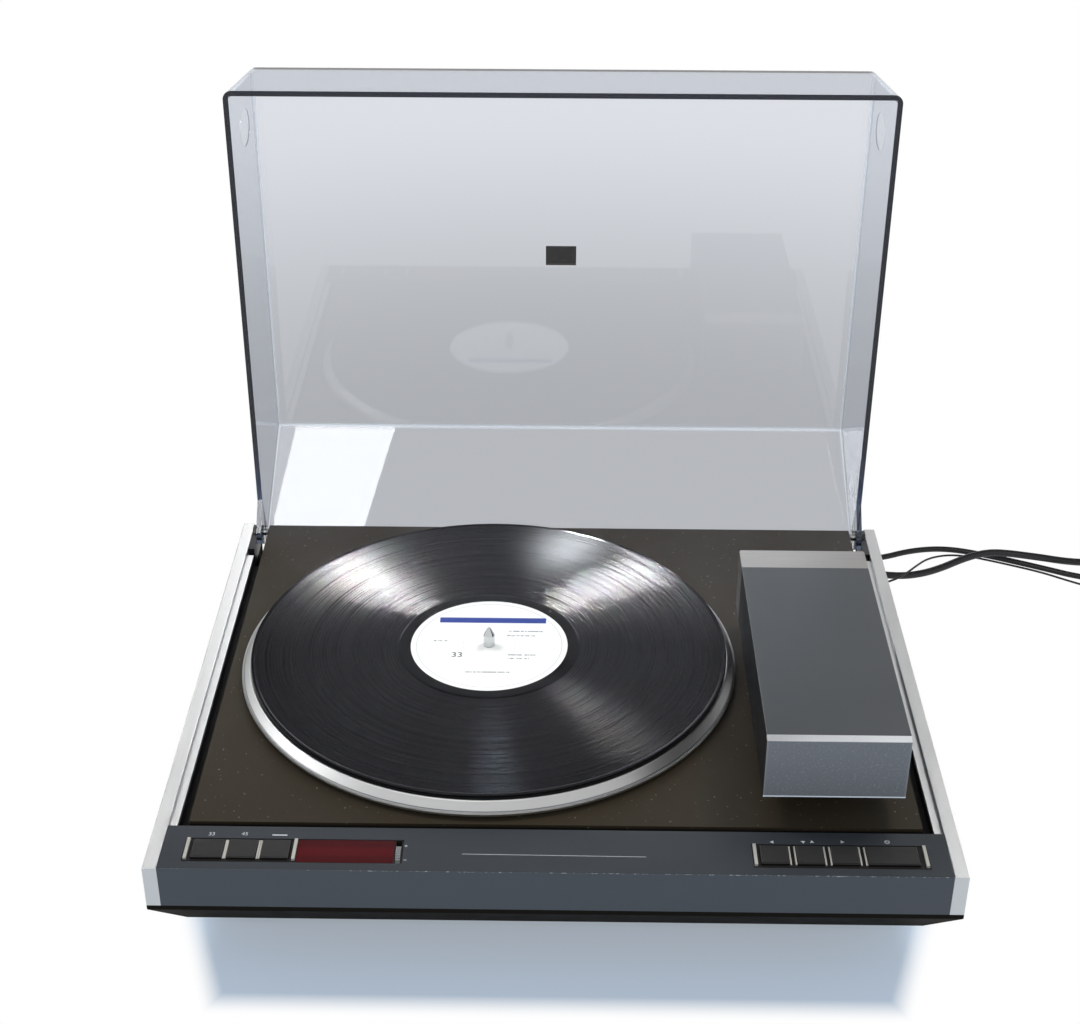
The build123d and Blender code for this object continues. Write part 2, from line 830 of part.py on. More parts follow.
# Arm chassis: floor plate with the stylus slot, a bearing sleeve, and brackets for the rods and pulleys
floor_top = arm_bottom + arm_wall
rod_z = arm_bottom + 26.7
rod_across = (4.0, 30.0)
bracket_thickness = 3.0
bracket_top = arm_bottom + 31.0
bracket_side = 5.0
shelf_half = 9.0
shelf_thickness = 2.0
belt_across = 17.0
sleeve_wall = 4.0
last_groove = 57.0
spindle_along = arm_pivot_x - spindle_x
spindle_back = arm_pivot_y - spindle_y
swing_reach = math.hypot(spindle_along, spindle_back)
spindle_distance = math.sqrt(swing_reach**2 - stylus_offset**2)
stylus_start = spindle_distance - first_groove
arm_front_reach = spindle_distance - arm_tip_clearance
drive_along = stylus_start - 24.4
idler_along = arm_front_reach - 14.9
rod_back = drive_along - 13.0
rod_front = idler_along + 8.0
carriage_travel = first_groove - last_groove
slot_margin = 11.5
stub_radius = 1.5
motor_nose_radius = 1.6
cover_inner = arm_right_reach - arm_wall
cover_inner_left = arm_left_reach - arm_wall
chassis_front = arm_front_reach - arm_cap_depth
chassis_rear = arm_rear_reach - arm_wall
with BuildPart() as arm_chassis:
    block(
        arm_x(cover_inner_left),
        arm_x(-cover_inner),
        arm_y(chassis_front),
        arm_y(-chassis_rear),
        arm_bottom,
        floor_top,
    )
    disc(arm_pivot_x, arm_pivot_y, post_radius + sleeve_wall, floor_top, post_top - 2.0)
    for bracket_along in (rod_back, rod_front - bracket_thickness):
        block(
            arm_x(rod_across[1] + bracket_side),
            arm_x(rod_across[0] - bracket_side),
            arm_y(bracket_along + bracket_thickness),
            arm_y(bracket_along),
            floor_top,
            bracket_top,
        )
    for along_low, along_high in (
        (rod_back, drive_along + shelf_half),
        (idler_along - shelf_half + 2.0, rod_front),
    ):
        block(
            arm_x(belt_across + shelf_half),
            arm_x(belt_across - shelf_half),
            arm_y(along_high),
            arm_y(along_low),
            bracket_top - shelf_thickness,
            bracket_top,
        )
    disc(arm_x(belt_across), arm_y(idler_along), stub_radius, bracket_top, bracket_top + 5.0)
    disc(
        arm_x(belt_across),
        arm_y(drive_along),
        motor_nose_radius,
        bracket_top - shelf_thickness,
        bracket_top,
        Mode.SUBTRACT,
    )
    disc(arm_pivot_x, arm_pivot_y, post_radius + running_gap, arm_bottom, post_top, Mode.SUBTRACT)
    block(
        arm_x(-stylus_offset + 16.0),
        arm_x(-stylus_offset - 10.0),
        arm_y(stylus_start + carriage_travel + slot_margin),
        arm_y(stylus_start - slot_margin),
        arm_bottom,
        floor_top,
        Mode.SUBTRACT,
    )
    for across in rod_across:
        with BuildSketch(Plane.XZ.offset(-arm_y(0))):
            with Locations((arm_x(across), rod_z)):
                Circle(rod_radius)
        extrude(amount=arm_front_reach, mode=Mode.SUBTRACT)
save(arm_chassis, "arm_chassis")

# Arm cover: folded grey shell, open below, with a bevelled bright edge at its front
front_bevel = 4.0
with BuildPart() as arm_cover:
    block(
        arm_x(arm_left_reach),
        arm_x(-arm_right_reach),
        arm_y(arm_front_reach),
        arm_y(-(arm_rear_reach - arm_strip_depth)),
        arm_bottom,
        arm_top,
    )
    chamfer(arm_cover.edges().filter_by(Axis.X).group_by(Axis.Z)[-1].sort_by(Axis.Y)[0], 1.6, front_bevel)
    block(
        arm_x(cover_inner_left),
        arm_x(-cover_inner),
        arm_y(chassis_front),
        arm_y(-(arm_rear_reach - arm_strip_depth)),
        arm_bottom,
        arm_top - arm_wall,
        Mode.SUBTRACT,
    )
save(arm_cover, "arm_cover")

# Arm end cap: brushed aluminium end of the arm box, over the pivot
with BuildPart() as arm_end_cap:
    block(
        arm_x(arm_left_reach),
        arm_x(-arm_right_reach),
        arm_y(-(arm_rear_reach - arm_strip_depth)),
        arm_y(-arm_rear_reach),
        arm_bottom,
        arm_top,
    )
    fillet(arm_end_cap.edges().filter_by(Axis.Z).group_by(Axis.Y)[-1], 1.5)
    block(
        arm_x(cover_inner_left),
        arm_x(-cover_inner),
        arm_y(-(arm_rear_reach - arm_strip_depth)),
        arm_y(-chassis_rear),
        arm_bottom,
        arm_top - arm_wall,
        Mode.SUBTRACT,
    )
save(arm_end_cap, "arm_end_cap")

# Guide rods for the carriage
with BuildPart() as guide_rods:
    for across in rod_across:
        with BuildSketch(Plane.XZ.offset(-arm_y(rod_back))):
            with Locations((arm_x(across), rod_z)):
                Circle(rod_radius)
        extrude(amount=rod_front - rod_back)
save(guide_rods, "guide_rods")

# Carriage: block on the rods with two ears, the tonearm's pin and the clamp on the belt
carriage_half = 13.0
carriage_low = rod_z - 5.0
carriage_high = rod_z + 3.6
pin_across = tonearm_reach - stylus_offset
pin_z = arm_bottom + 12.7
ear_inner = 10.0
ear_outer = 12.5
tonearm_pin_radius = 1.5
belt_radius = pulley_radius + seat_gap
belt_thickness = 0.8
belt_low = bracket_top + 1.0
belt_high = belt_low + 3.0
with BuildPart() as carriage:
    block(
        arm_x(rod_across[1] + 5.0),
        arm_x(rod_across[0] - 5.0),
        arm_y(stylus_start + carriage_half),
        arm_y(stylus_start - carriage_half),
        carriage_low,
        carriage_high,
    )
    for along in (stylus_start - ear_outer, stylus_start + ear_inner):
        block(
            arm_x(pin_across + 5.0),
            arm_x(pin_across - 5.0),
            arm_y(along + ear_outer - ear_inner),
            arm_y(along),
            pin_z - 3.5,
            carriage_low,
        )
    with BuildSketch(Plane.XZ.offset(-arm_y(stylus_start - ear_inner))):
        with Locations((arm_x(pin_across), pin_z)):
            Circle(tonearm_pin_radius)
    extrude(amount=2 * ear_inner)
    block(
        arm_x(belt_across + belt_radius - seat_gap),
        arm_x(belt_across + belt_radius - 3.0),
        arm_y(stylus_start + 5.0),
        arm_y(stylus_start - 5.0),
        carriage_high,
        belt_high,
    )
    for across in rod_across:
        with BuildSketch(Plane.XZ.offset(-arm_y(stylus_start - carriage_half))):
            with Locations((arm_x(across), rod_z)):
                Circle(rod_radius + running_gap)
        extrude(amount=2 * carriage_half, mode=Mode.SUBTRACT)
save(carriage, "carriage")

# Carriage drive: motor under the rear shelf, two pulleys and the belt between them
motor_can_radius = 8.5
with BuildPart() as carriage_motor:
    can_top = bracket_top - shelf_thickness
    disc(arm_x(belt_across), arm_y(drive_along), motor_can_radius, can_top - 22.0, can_top)
    disc(arm_x(belt_across), arm_y(drive_along), motor_nose_radius, can_top, bracket_top - 0.5)
    disc(arm_x(belt_across), arm_y(drive_along), 1.25, bracket_top - 10.0, bracket_top - 0.5, Mode.SUBTRACT)
save(carriage_motor, "carriage_motor")

with BuildPart() as drive_pulley:
    disc(arm_x(belt_across), arm_y(drive_along), pulley_radius, bracket_top + 0.3, belt_high + 0.5)
    disc(arm_x(belt_across), arm_y(drive_along), 1.2, bracket_top - 9.0, bracket_top + 0.3)
save(drive_pulley, "drive_pulley")

with BuildPart() as idler_pulley:
    disc(arm_x(belt_across), arm_y(idler_along), pulley_radius, bracket_top + 0.3, belt_high + 0.5)
    disc(
        arm_x(belt_across),
        arm_y(idler_along),
        stub_radius + running_gap,
        bracket_top + 0.3,
        belt_high + 0.5,
        Mode.SUBTRACT,
    )
save(idler_pulley, "idler_pulley")

belt_run = idler_along - drive_along
with BuildPart() as drive_belt:
    with BuildSketch(Plane.XY.offset(belt_low)):
        with Locations((arm_x(belt_across), arm_y((drive_along + idler_along) / 2))):
            SlotCenterToCenter(belt_run, 2 * (belt_radius + belt_thickness), rotation=90)
            SlotCenterToCenter(belt_run, 2 * belt_radius, rotation=90, mode=Mode.SUBTRACT)
    extrude(amount=belt_high - belt_low)
save(drive_belt, "drive_belt")

# Tonearm: short beam on the carriage's pin with a counterweight, and the cartridge at its end
hub_half = ear_inner - 0.4
beam_half = 4.0
stylus_tip_z = arm_bottom + 2.2
cartridge_width = 18.0
cartridge_low = stylus_tip_z + 2.0
cartridge_high = pin_z - 1.0
with BuildPart() as tonearm:
    with BuildSketch(Plane.XZ.offset(-arm_y(stylus_start - hub_half))):
        with Locations((arm_x(pin_across), pin_z)):
            Circle(4.0)
    extrude(amount=2 * hub_half)
    block(
        arm_x(pin_across),
        arm_x(-stylus_offset - 6.0),
        arm_y(stylus_start + beam_half),
        arm_y(stylus_start - beam_half),
        cartridge_high,
        cartridge_high + 3.0,
    )
    block(
        arm_x(pin_across + 14.0),
        arm_x(pin_across),
        arm_y(stylus_start + hub_half),
        arm_y(stylus_start - hub_half),
        pin_z - 2.5,
        pin_z + 2.5,
    )
    with BuildSketch(Plane.XZ.offset(-arm_y(stylus_start - hub_half))):
        with Locations((arm_x(pin_across), pin_z)):
            Circle(tonearm_pin_radius + running_gap)
    extrude(amount=2 * hub_half, mode=Mode.SUBTRACT)
save(tonearm, "tonearm")

with BuildPart() as cartridge:
    block(
        arm_x(-stylus_offset + 10.0),
        arm_x(-stylus_offset - 7.0),
        arm_y(stylus_start + cartridge_width / 2),
        arm_y(stylus_start - cartridge_width / 2),
        cartridge_low,
        cartridge_high,
    )
save(cartridge, "cartridge")

with BuildPart() as stylus:
    block(
        arm_x(-stylus_offset + 4.0),
        arm_x(-stylus_offset - 3.0),
        arm_y(stylus_start + 2.0),
        arm_y(stylus_start - 2.0),
        cartridge_low - 0.8,
        cartridge_low,
    )
    with BuildSketch(Plane.XY.offset(cartridge_low - 0.8)):
        with Locations((arm_x(-stylus_offset), arm_y(stylus_start))):
            Circle(0.5)
    with BuildSketch(Plane.XY.offset(stylus_tip_z)):
        with Locations((arm_x(-stylus_offset), arm_y(stylus_start))):
            Circle(0.12)
    loft()
save(stylus, "stylus")

# Hinges: a bracket beside each rail and a pin through the lid's ear
bracket_inner = ledge_inner + 0.4
pin_inner = deck_half + 0.4
bracket_reach = 26.0
bracket_heel = 4.7
bracket_rise = 1.7
eye_half = 2.5
eye_rise = 4.2
with BuildPart() as hinge_brackets:
    for side in (-1, 1):
        with BuildSketch(Plane.YZ.offset(side * bracket_inner)):
            with BuildLine():
                Polyline(
                    (hinge_y - bracket_reach, frame_bottom),
                    (hinge_y + bracket_heel, frame_bottom),
                    (hinge_y + bracket_heel, hinge_z + eye_rise - bracket_heel + eye_half),
                    (hinge_y + eye_half, hinge_z + eye_rise),
                    (hinge_y - eye_half, hinge_z + eye_rise),
                    (hinge_y - eye_half - (eye_rise - bracket_rise), hinge_z + bracket_rise),
                    (hinge_y - bracket_reach, hinge_z + bracket_rise),
                    close=True,
                )
            make_face()
            with Locations((hinge_y, hinge_z)):
                Circle(hinge_pin_radius, mode=Mode.SUBTRACT)
        extrude(amount=side * (rail_inner - bracket_inner))
save(hinge_brackets, "hinge_brackets")

with BuildPart() as hinge_pins:
    for side in (-1, 1):
        with BuildSketch(Plane.YZ.offset(side * pin_inner)):
            with Locations((hinge_y, hinge_z)):
                Circle(hinge_pin_radius)
        extrude(amount=side * (rail_inner - pin_inner))
save(hinge_pins, "hinge_pins")

# Lid: smoked moulding, drawn closed in the hinge's own frame and turned to its open angle
lid_half = ledge_inner - lid_side_gap
lid_front = panel_rear + lid_front_gap - hinge_y
lid_rim = -lid_rim_depth + hinge_drop
lid_top = lid_rise + hinge_drop
fold_back = -lid_fold_inset + hinge_inset
rear_edge_y = hinge_inset - lid_rear_edge_inset
rear_edge_z = lid_rear_edge_rise + hinge_drop
open_turn = math.radians(lid_open_angle)
closed_x = (1, 0, 0)
closed_up = (0, math.sin(open_turn), math.cos(open_turn))
closed_back = (0, math.cos(open_turn), -math.sin(open_turn))


def lid_level(height):
    # The plane at a height over the hinge's axis, in the lid's own closed frame.
    origin = tuple(a + height * b for a, b in zip((0, hinge_y, hinge_z), closed_up))
    return Plane(origin=origin, x_dir=closed_x, z_dir=closed_up)


def lid_side(across):
    # The plane of the lid's side profile: local X runs back and local Y runs up while closed.
    return Plane(origin=(across, hinge_y, hinge_z), x_dir=closed_back, z_dir=(1, 0, 0))


def lid_block(half, front, rim, top, draft):
    # The drafted block of the lid from its rim to its top.
    back = 40.0
    sections = []
    for height, inset in ((rim, 0.0), (top, draft)):
        with BuildSketch(lid_level(height)) as section:
            with Locations((0, (front + inset + back) / 2)):
                Rectangle(2 * (half - inset), back - front - inset)
        sections.append(section.sketch)
    loft(sections)


rear_run = math.hypot(rear_edge_y - fold_back, lid_top - lid_wall - rear_edge_z)
rear_along = ((rear_edge_y - fold_back) / rear_run, (rear_edge_z - lid_top + lid_wall) / rear_run)
rear_normal = (-rear_along[1], rear_along[0])
outer_edge = (rear_edge_y + lid_wall * rear_normal[0], rear_edge_z + lid_wall * rear_normal[1])
outer_fold_y = outer_edge[0] - (lid_top - outer_edge[1]) * rear_along[0] / -rear_along[1]
edge_reach = 60.0
hollow_draft = lid_draft * (lid_top - lid_wall - lid_rim) / (lid_top - lid_rim)

with BuildPart() as lid_hollow:
    lid_block(lid_half - lid_wall, lid_front + lid_wall, lid_rim, lid_top - lid_wall, hollow_draft)
    with BuildSketch(lid_side(-lid_half)):
        with BuildLine():
            Polyline(
                (fold_back, lid_top - lid_wall),
                (rear_edge_y, rear_edge_z),
                (
                    rear_edge_y + edge_reach * rear_normal[0],
                    rear_edge_z + edge_reach * rear_normal[1],
                ),
                (fold_back, lid_top + edge_reach),
                close=True,
            )
        make_face()
    extrude(amount=2 * lid_half, mode=Mode.SUBTRACT)

badge_width = 21.0
badge_depth = 14.0
badge_thickness = 0.8
badge_back = -188.25
grip_radius = 12.5
grip_depth = 0.7
grip_back = -288.25
grip_up = 35.25
draft_angle = math.atan2(lid_draft, lid_top - lid_rim)
grip_across = lid_half - lid_draft * (grip_up - lid_rim) / (lid_top - lid_rim)
with BuildPart() as lid:
    lid_block(lid_half, lid_front, lid_rim, lid_top, lid_draft)
    fillet(lid.edges().filter_by(Axis.X, reverse=True).sort_by(Axis.Z)[-2:], lid_corner_radius)
    with BuildSketch(lid_side(-lid_half - 1)):
        with BuildLine():
            Polyline(
                (outer_fold_y, lid_top),
                outer_edge,
                (hinge_radius, hinge_radius / 2),
                (hinge_radius, lid_rim - 1.0),
                (edge_reach, lid_rim - 1.0),
                (edge_reach, lid_top + 1.0),
                (outer_fold_y, lid_top + 1.0),
                close=True,
            )
        make_face()
    extrude(amount=2 * lid_half + 2, mode=Mode.SUBTRACT)
    add(lid_hollow.part, mode=Mode.SUBTRACT)
    for side in (-1, 1):
        with BuildSketch(lid_side(side * (lid_half - lid_wall))):
            with BuildLine():
                Polyline(
                    (-ear_start, lid_rim),
                    (-ear_width - 1.75, -ear_drop + hinge_drop),
                    (-1.75, -ear_drop + hinge_drop),
                    (hinge_radius, -hinge_radius + 1.25),
                    (hinge_radius, hinge_radius / 2),
                    (0, hinge_radius),
                    (-ear_start, lid_rim + 2.0),
                    close=True,
                )
            make_face()
        extrude(amount=side * lid_wall)
        with BuildSketch(lid_side(side * deck_half)):
            Circle(hinge_pin_radius + hinge_clearance)
        extrude(amount=side * (lid_half - deck_half), mode=Mode.SUBTRACT)
        grip_out = (side * math.cos(draft_angle), *(math.sin(draft_angle) * c for c in closed_up[1:]))
        grip_at = lid_level(grip_up).from_local_coords(Vector(side * grip_across, grip_back, 0))
        with BuildSketch(Plane(origin=grip_at, x_dir=closed_back, z_dir=grip_out)):
            Circle(grip_radius)
        extrude(amount=-grip_depth, mode=Mode.SUBTRACT)
    with BuildSketch(lid_level(lid_top)):
        with Locations((0, badge_back)):
            Rectangle(badge_width, badge_depth)
    extrude(amount=-badge_thickness, mode=Mode.SUBTRACT)
save(lid, "lid")

with BuildPart() as lid_badge:
    with BuildSketch(lid_level(lid_top)):
        with Locations((0, badge_back)):
            Rectangle(badge_width, badge_depth)
    extrude(amount=-badge_thickness)
save(lid_badge, "lid_badge")

# Cords: sizes and routes. Each route runs from its strain relief to the start of its coil.
mains_radius = 2.75
audio_radius = 2.25
earth_radius = 0.8
mains_relief_length = 30.0
audio_relief_length = 24.0
earth_relief_length = 8.0
straight_run = 11.0
mains_route = [
    outlet_point(mains_outlet_x, mains_relief_length),
    outlet_point(mains_outlet_x, mains_relief_length + straight_run),
    (174.5, 190.5, 5.4),
    (182.5, 201.5, 2.75),
    (196.0, 210.5, 2.75),
    (213.0, 214.5, 2.75),
    (232.0, 212.5, 2.75),
    (251.0, 208.8, 2.75),
    (265.0, 208.3, 2.75),
    (280.0, 212.6, 2.75),
    (294.9, 219.7, 3.6),
    (308.7, 226.0, 6.4),
    (320.5, 229.0, 9.2),
    (332.8, 230.4, 10.9),
    (345.6, 228.6, 11.3),
    (358.5, 225.0, 11.6),
    (371.5, 223.0, 10.9),
    (386.0, 225.4, 7.0),
    (403.0, 229.2, 3.2),
    (424.0, 230.6, 2.75),
    (443.0, 230.0, 2.75),
    (462.0, 230.0, 2.75),
]
audio_route = [
    outlet_point(audio_outlet_x, audio_relief_length),
    outlet_point(audio_outlet_x, audio_relief_length + straight_run),
    (143.5, 188.0, 7.4),
    (153.0, 203.0, 3.0),
    (168.0, 217.0, 2.25),
    (188.0, 227.0, 2.25),
    (210.0, 231.5, 2.25),
    (231.0, 232.0, 2.25),
    (251.4, 235.1, 2.25),
    (270.6, 244.3, 2.25),
    (290.0, 248.8, 2.25),
    (306.2, 248.2, 2.25),
    (321.0, 244.0, 2.25),
    (335.5, 238.4, 2.25),
    (350.4, 231.9, 2.25),
    (372.0, 221.9, 2.25),
    (397.4, 209.4, 2.25),
    (428.0, 203.6, 2.25),
    (458.0, 202.2, 2.25),
    (489.0, 202.2, 2.25),
]
earth_route = [
    outlet_point(earth_outlet_x, earth_relief_length),
    outlet_point(earth_outlet_x, earth_relief_length + straight_run),
    (192.0, 170.5, 15.5),
    (197.5, 178.0, 8.5),
    (207.0, 184.5, 4.0),
    (219.0, 189.5, 2.4),
    (232.0, 192.5, 2.6),
    (243.5, 194.6, 4.0),
    (252.0, 195.7, 6.4),
    (257.8, 197.0, 8.6),
    (264.3, 202.4, 9.4),
    (272.9, 214.1, 8.0),
    (283.4, 229.2, 4.6),
    (294.6, 239.0, 1.6),
    (306.1, 242.3, 0.8),
    (319.7, 240.2, 0.8),
    (333.9, 234.6, 0.8),
    (348.7, 228.2, 0.8),
    (370.3, 218.2, 0.8),
    (385.0, 208.5, 0.8),
    (398.0, 200.6, 0.8),
    (408.0, 196.3, 0.8),
    (417.0, 196.3, 0.8),
]


def corner_radii(route, name):
    # Each corner's arc takes 0.45 of the shorter of its two runs.
    points = [Vector(*p) for p in route]
    radii = []
    for before, corner, after in zip(points, points[1:], points[2:]):
        turn = (corner - before).get_angle(after - corner)
        shorter = min((corner - before).length, (after - corner).length)
        radii.append(0.45 * shorter / math.tan(math.radians(turn) / 2))
    print(name, "corner radii", [round(r, 1) for r in radii])
    return radii


def tube(route, radius, name):
    with BuildPart() as lead:
        with BuildLine() as path:
            FilletPolyline(*route, radius=corner_radii(route, name))
        spine = path.wires()[0]
        with BuildSketch(Plane(origin=spine @ 0, z_dir=spine % 0)):
            Circle(radius)
        sweep()
    expected = spine.length * math.pi * radius**2
    print(f"{name} length {spine.length:.1f}, volume share {lead.part.volume / expected:.4f}")
    save(lead, name)


def coil_points(start, radius_mid, wire, pitch, turns, layers, sign):
    # Places and headings along a coil that starts along +X: flat spirals in and out,
    # with the climb to the next layer in the half turn where the spiral reverses.
    per_layer = (turns - 0.5 * (layers - 1)) / layers
    radius_out = radius_mid + per_layer * pitch / 2
    radius_in = radius_mid - per_layer * pitch / 2
    steps = math.ceil(per_layer * 2)
    angle = -sign * math.pi / 2
    samples = []
    for layer in range(layers):
        r_from, r_to = (radius_out, radius_in) if layer % 2 == 0 else (radius_in, radius_out)
        for k in range(steps + 1):
            radius = r_from + (r_to - r_from) * k / steps
            turn = angle + sign * 2 * math.pi * per_layer * k / steps
            slope = (r_to - r_from) / (2 * math.pi * per_layer) if 0 < k < steps else 0.0
            outward = Vector(math.cos(turn), math.sin(turn), 0)
            along = Vector(-sign * math.sin(turn), sign * math.cos(turn), 0)
            place = Vector(
                start[0] + radius * outward.X,
                start[1] + sign * radius_out + radius * outward.Y,
                start[2] + layer * pitch,
            )
            samples.append((place, (along * radius + outward * slope).normalized()))
        angle += sign * 2 * math.pi * (per_layer + 0.5)
    return samples, radius_out


def arc_between(start, heading, end):
    # The arc that leaves start along heading and reaches end.
    chord = end - start
    side = heading - chord * (heading.dot(chord) / chord.dot(chord))
    half_angle = math.radians(heading.get_angle(chord)) / 2
    middle = start + chord * 0.5 + side.normalized() * (chord.length / 2 * math.tan(half_angle))
    ThreePointArc(start, middle, end)


def least_gap(spine, wire):
    # The least free distance between two stretches of the tube that aren't next to each other.
    step = 0.6 * wire
    count = int(spine.length / step)
    spots = [tuple(spine @ (i / count)) for i in range(count + 1)]
    apart = int(3 * math.pi * wire / step)
    nearest = min(math.dist(a, b) for i, a in enumerate(spots) for b in spots[i + apart :])
    return nearest - 2 * wire


def coil(name, start, radius_mid, wire, gap, turns, layers, sign, tail):
    samples, radius_out = coil_points(
        (start[0] + 2 * wire, start[1], start[2]), radius_mid, wire, 2 * wire + gap, turns, layers, sign
    )
    with BuildPart() as winding:
        with BuildLine() as path:
            Line(start, samples[0][0])
            for (p0, t0), (p1, t1) in zip(samples, samples[1:]):
                v = p1 - p0
                t = t0 + t1
                open_share = 2 * (1 - t0.dot(t1))
                reach = (-v.dot(t) + math.sqrt(v.dot(t) ** 2 + open_share * v.dot(v))) / open_share
                joint = (p0 + p1 + (t0 - t1) * reach) * 0.5
                arc_between(p0, t0, joint)
                arc_between(joint, (v - t * reach).normalized(), p1)
            last = samples[-1][0]
            places = [last] + [last + Vector(*offset) for offset in tail]
            if len(places) > 2:
                FilletPolyline(*places, radius=corner_radii([tuple(p) for p in places], name))
            else:
                Line(*places)
        spine = path.wires()[0]
        with BuildSketch(Plane(origin=spine @ 0, z_dir=spine % 0)):
            Circle(wire)
        sweep()
    expected = spine.length * math.pi * wire**2
    print(
        f"{name} length {spine.length:.1f}, outside {2 * (radius_out + wire):.1f}, "
        f"volume share {winding.part.volume / expected:.4f}, "
        f"least gap to itself {least_gap(spine, wire):.2f}"
    )
    save(winding, name)
    return spine @ 1


# Strain reliefs: moulded boots in the tray's rear wall, tapered towards the cords
relief_flange = 1.5
relief_skin = 0.9
relief_neck = 5.0
reliefs = (
    (mains_outlet_x, mains_neck_radius, mains_relief_length, mains_radius),
    (audio_outlet_x, audio_neck_radius, audio_relief_length, audio_radius),
    (earth_outlet_x, earth_neck_radius, earth_relief_length, earth_radius),
)
with BuildPart() as cord_reliefs:
    for x, neck, reach, wire in reliefs:
        for radius, low, high in (
            (neck, -relief_neck, 0.0),
            (neck + relief_flange, 0.0, relief_flange),
        ):
            with BuildSketch(outlet_plane(x, low)) as ring:
                Circle(radius)
            extrude(ring.sketch, amount=high - low)
        sections = []
        for radius, out in ((neck, relief_flange), (wire + relief_skin, reach)):
            with BuildSketch(outlet_plane(x, out)) as ring:
                Circle(radius)
            sections.append(ring.sketch)
        loft(sections)
save(cord_reliefs, "cord_reliefs")

# Leads, and the rest of each cord wound up beside the turntable
mains_gap = 1.7
audio_gap = 1.5
earth_gap = 0.9
earth_layers = 4
lug_barrel_radius = 1.5
lug_drop = (earth_layers - 1) * (2 * earth_radius + earth_gap) + earth_radius - lug_barrel_radius
tube(mains_route, mains_radius, "mains_lead")
tube(audio_route, audio_radius, "audio_lead")
tube(earth_route, earth_radius, "earth_wire")
mains_end = coil(
    "mains_coil", mains_route[-1], 33.0, mains_radius, mains_gap, 7, 2, 1, [(40.0, 0, 0)]
)
audio_end = coil(
    "audio_coil", audio_route[-1], 26.0, audio_radius, audio_gap, 5, 2, -1, [(30.0, 0, 0)]
)
earth_end = coil(
    "earth_coil",
    earth_route[-1],
    9.0,
    earth_radius,
    earth_gap,
    14,
    earth_layers,
    -1,
    [
        (6.0, 0, 0),
        (13.0, 0, -0.24 * lug_drop),
        (21.0, 0, -0.78 * lug_drop),
        (28.0, 0, -lug_drop),
        (34.0, 0, -lug_drop),
    ],
)

# Mains plug: moulded body with a nose round the cord and two flat blades
plug_nose = 9.0
plug_body = 25.0
plug_width = 25.0
blade_length = 17.0
blade_height = 6.3
blade_thickness = 1.5
blade_spacing = 12.7
with BuildPart() as mains_plug:
    with BuildSketch(Plane.YZ.offset(mains_end.X)):
        with Locations((mains_end.Y, mains_end.Z)):
            Circle(mains_radius + 2.5)
    extrude(amount=plug_nose)
    block(
        mains_end.X + plug_nose,
        mains_end.X + plug_nose + plug_body,
        mains_end.Y - plug_width / 2,
        mains_end.Y + plug_width / 2,
        0,
        2 * mains_end.Z,
    )
    fillet(mains_plug.edges().filter_by(Axis.X).filter_by(GeomType.LINE), 4.0)
    for side in (-1, 1):
        blade_y = mains_end.Y + side * blade_spacing / 2
        block(
            mains_end.X + plug_nose + plug_body,
            mains_end.X + plug_nose + plug_body + blade_length,
            blade_y - blade_thickness / 2,
            blade_y + blade_thickness / 2,
            mains_end.Z - blade_height / 2,
            mains_end.Z + blade_height / 2,
        )
save(mains_plug, "mains_plug")

# Audio plug: round moulded grip, metal shell and five pins
grip_length = 24.0
shell_radius = 6.6
shell_wall = 0.6
shell_length = 9.0
pin_circle = 3.3
pin_radius = 0.7
with BuildPart() as audio_plug:
    audio_face = audio_end.X + plug_nose + grip_length
    for radius, x_low, x_high, mode in (
        (audio_radius + 2.0, audio_end.X, audio_end.X + plug_nose, Mode.ADD),
        (audio_end.Z, audio_end.X + plug_nose, audio_face, Mode.ADD),
        (shell_radius, audio_face, audio_face + shell_length, Mode.ADD),
        (shell_radius - shell_wall, audio_face + 1.0, audio_face + shell_length, Mode.SUBTRACT),
    ):
        with BuildSketch(Plane.YZ.offset(x_low)):
            with Locations((audio_end.Y, audio_end.Z)):
                Circle(radius)
        extrude(amount=x_high - x_low, mode=mode)
    with BuildSketch(Plane.YZ.offset(audio_face + 1.0)):
        with Locations((audio_end.Y, audio_end.Z)):
            with PolarLocations(pin_circle, 5, start_angle=0, angular_range=180, endpoint=True):
                Circle(pin_radius)
    extrude(amount=shell_length - 2.0)
save(audio_plug, "audio_plug")

# Earth lug: crimped barrel and a flat fork
lug_barrel = 6.0
lug_thickness = 0.8
fork_radius = 3.8
fork_slot = 2.1
with BuildPart() as earth_lug:
    with BuildSketch(Plane.YZ.offset(earth_end.X)):
        with Locations((earth_end.Y, earth_end.Z)):
            Circle(lug_barrel_radius)
    extrude(amount=lug_barrel)
    with BuildSketch(Plane.XY):
        with Locations((earth_end.X + lug_barrel + fork_radius, earth_end.Y)):
            Circle(fork_radius)
        with Locations((earth_end.X + lug_barrel, earth_end.Y)):
            Rectangle(2 * fork_radius, 2 * lug_barrel_radius)
        with Locations((earth_end.X + lug_barrel + fork_radius, earth_end.Y)):
            Circle(fork_slot, mode=Mode.SUBTRACT)
        with Locations((earth_end.X + lug_barrel + 2 * fork_radius, earth_end.Y)):
            Rectangle(2 * fork_radius, 2 * fork_slot, mode=Mode.SUBTRACT)
    extrude(amount=lug_thickness)
save(earth_lug, "earth_lug")
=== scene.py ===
"""Turntable with a swinging arm box and a smoked lid, dressed and lit.

Each operator below finishes one group of pieces, and the panel in the sidebar lists them.
Lengths are in metres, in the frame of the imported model.
"""
import math

import bmesh
import bpy
from mathutils import Matrix, Vector


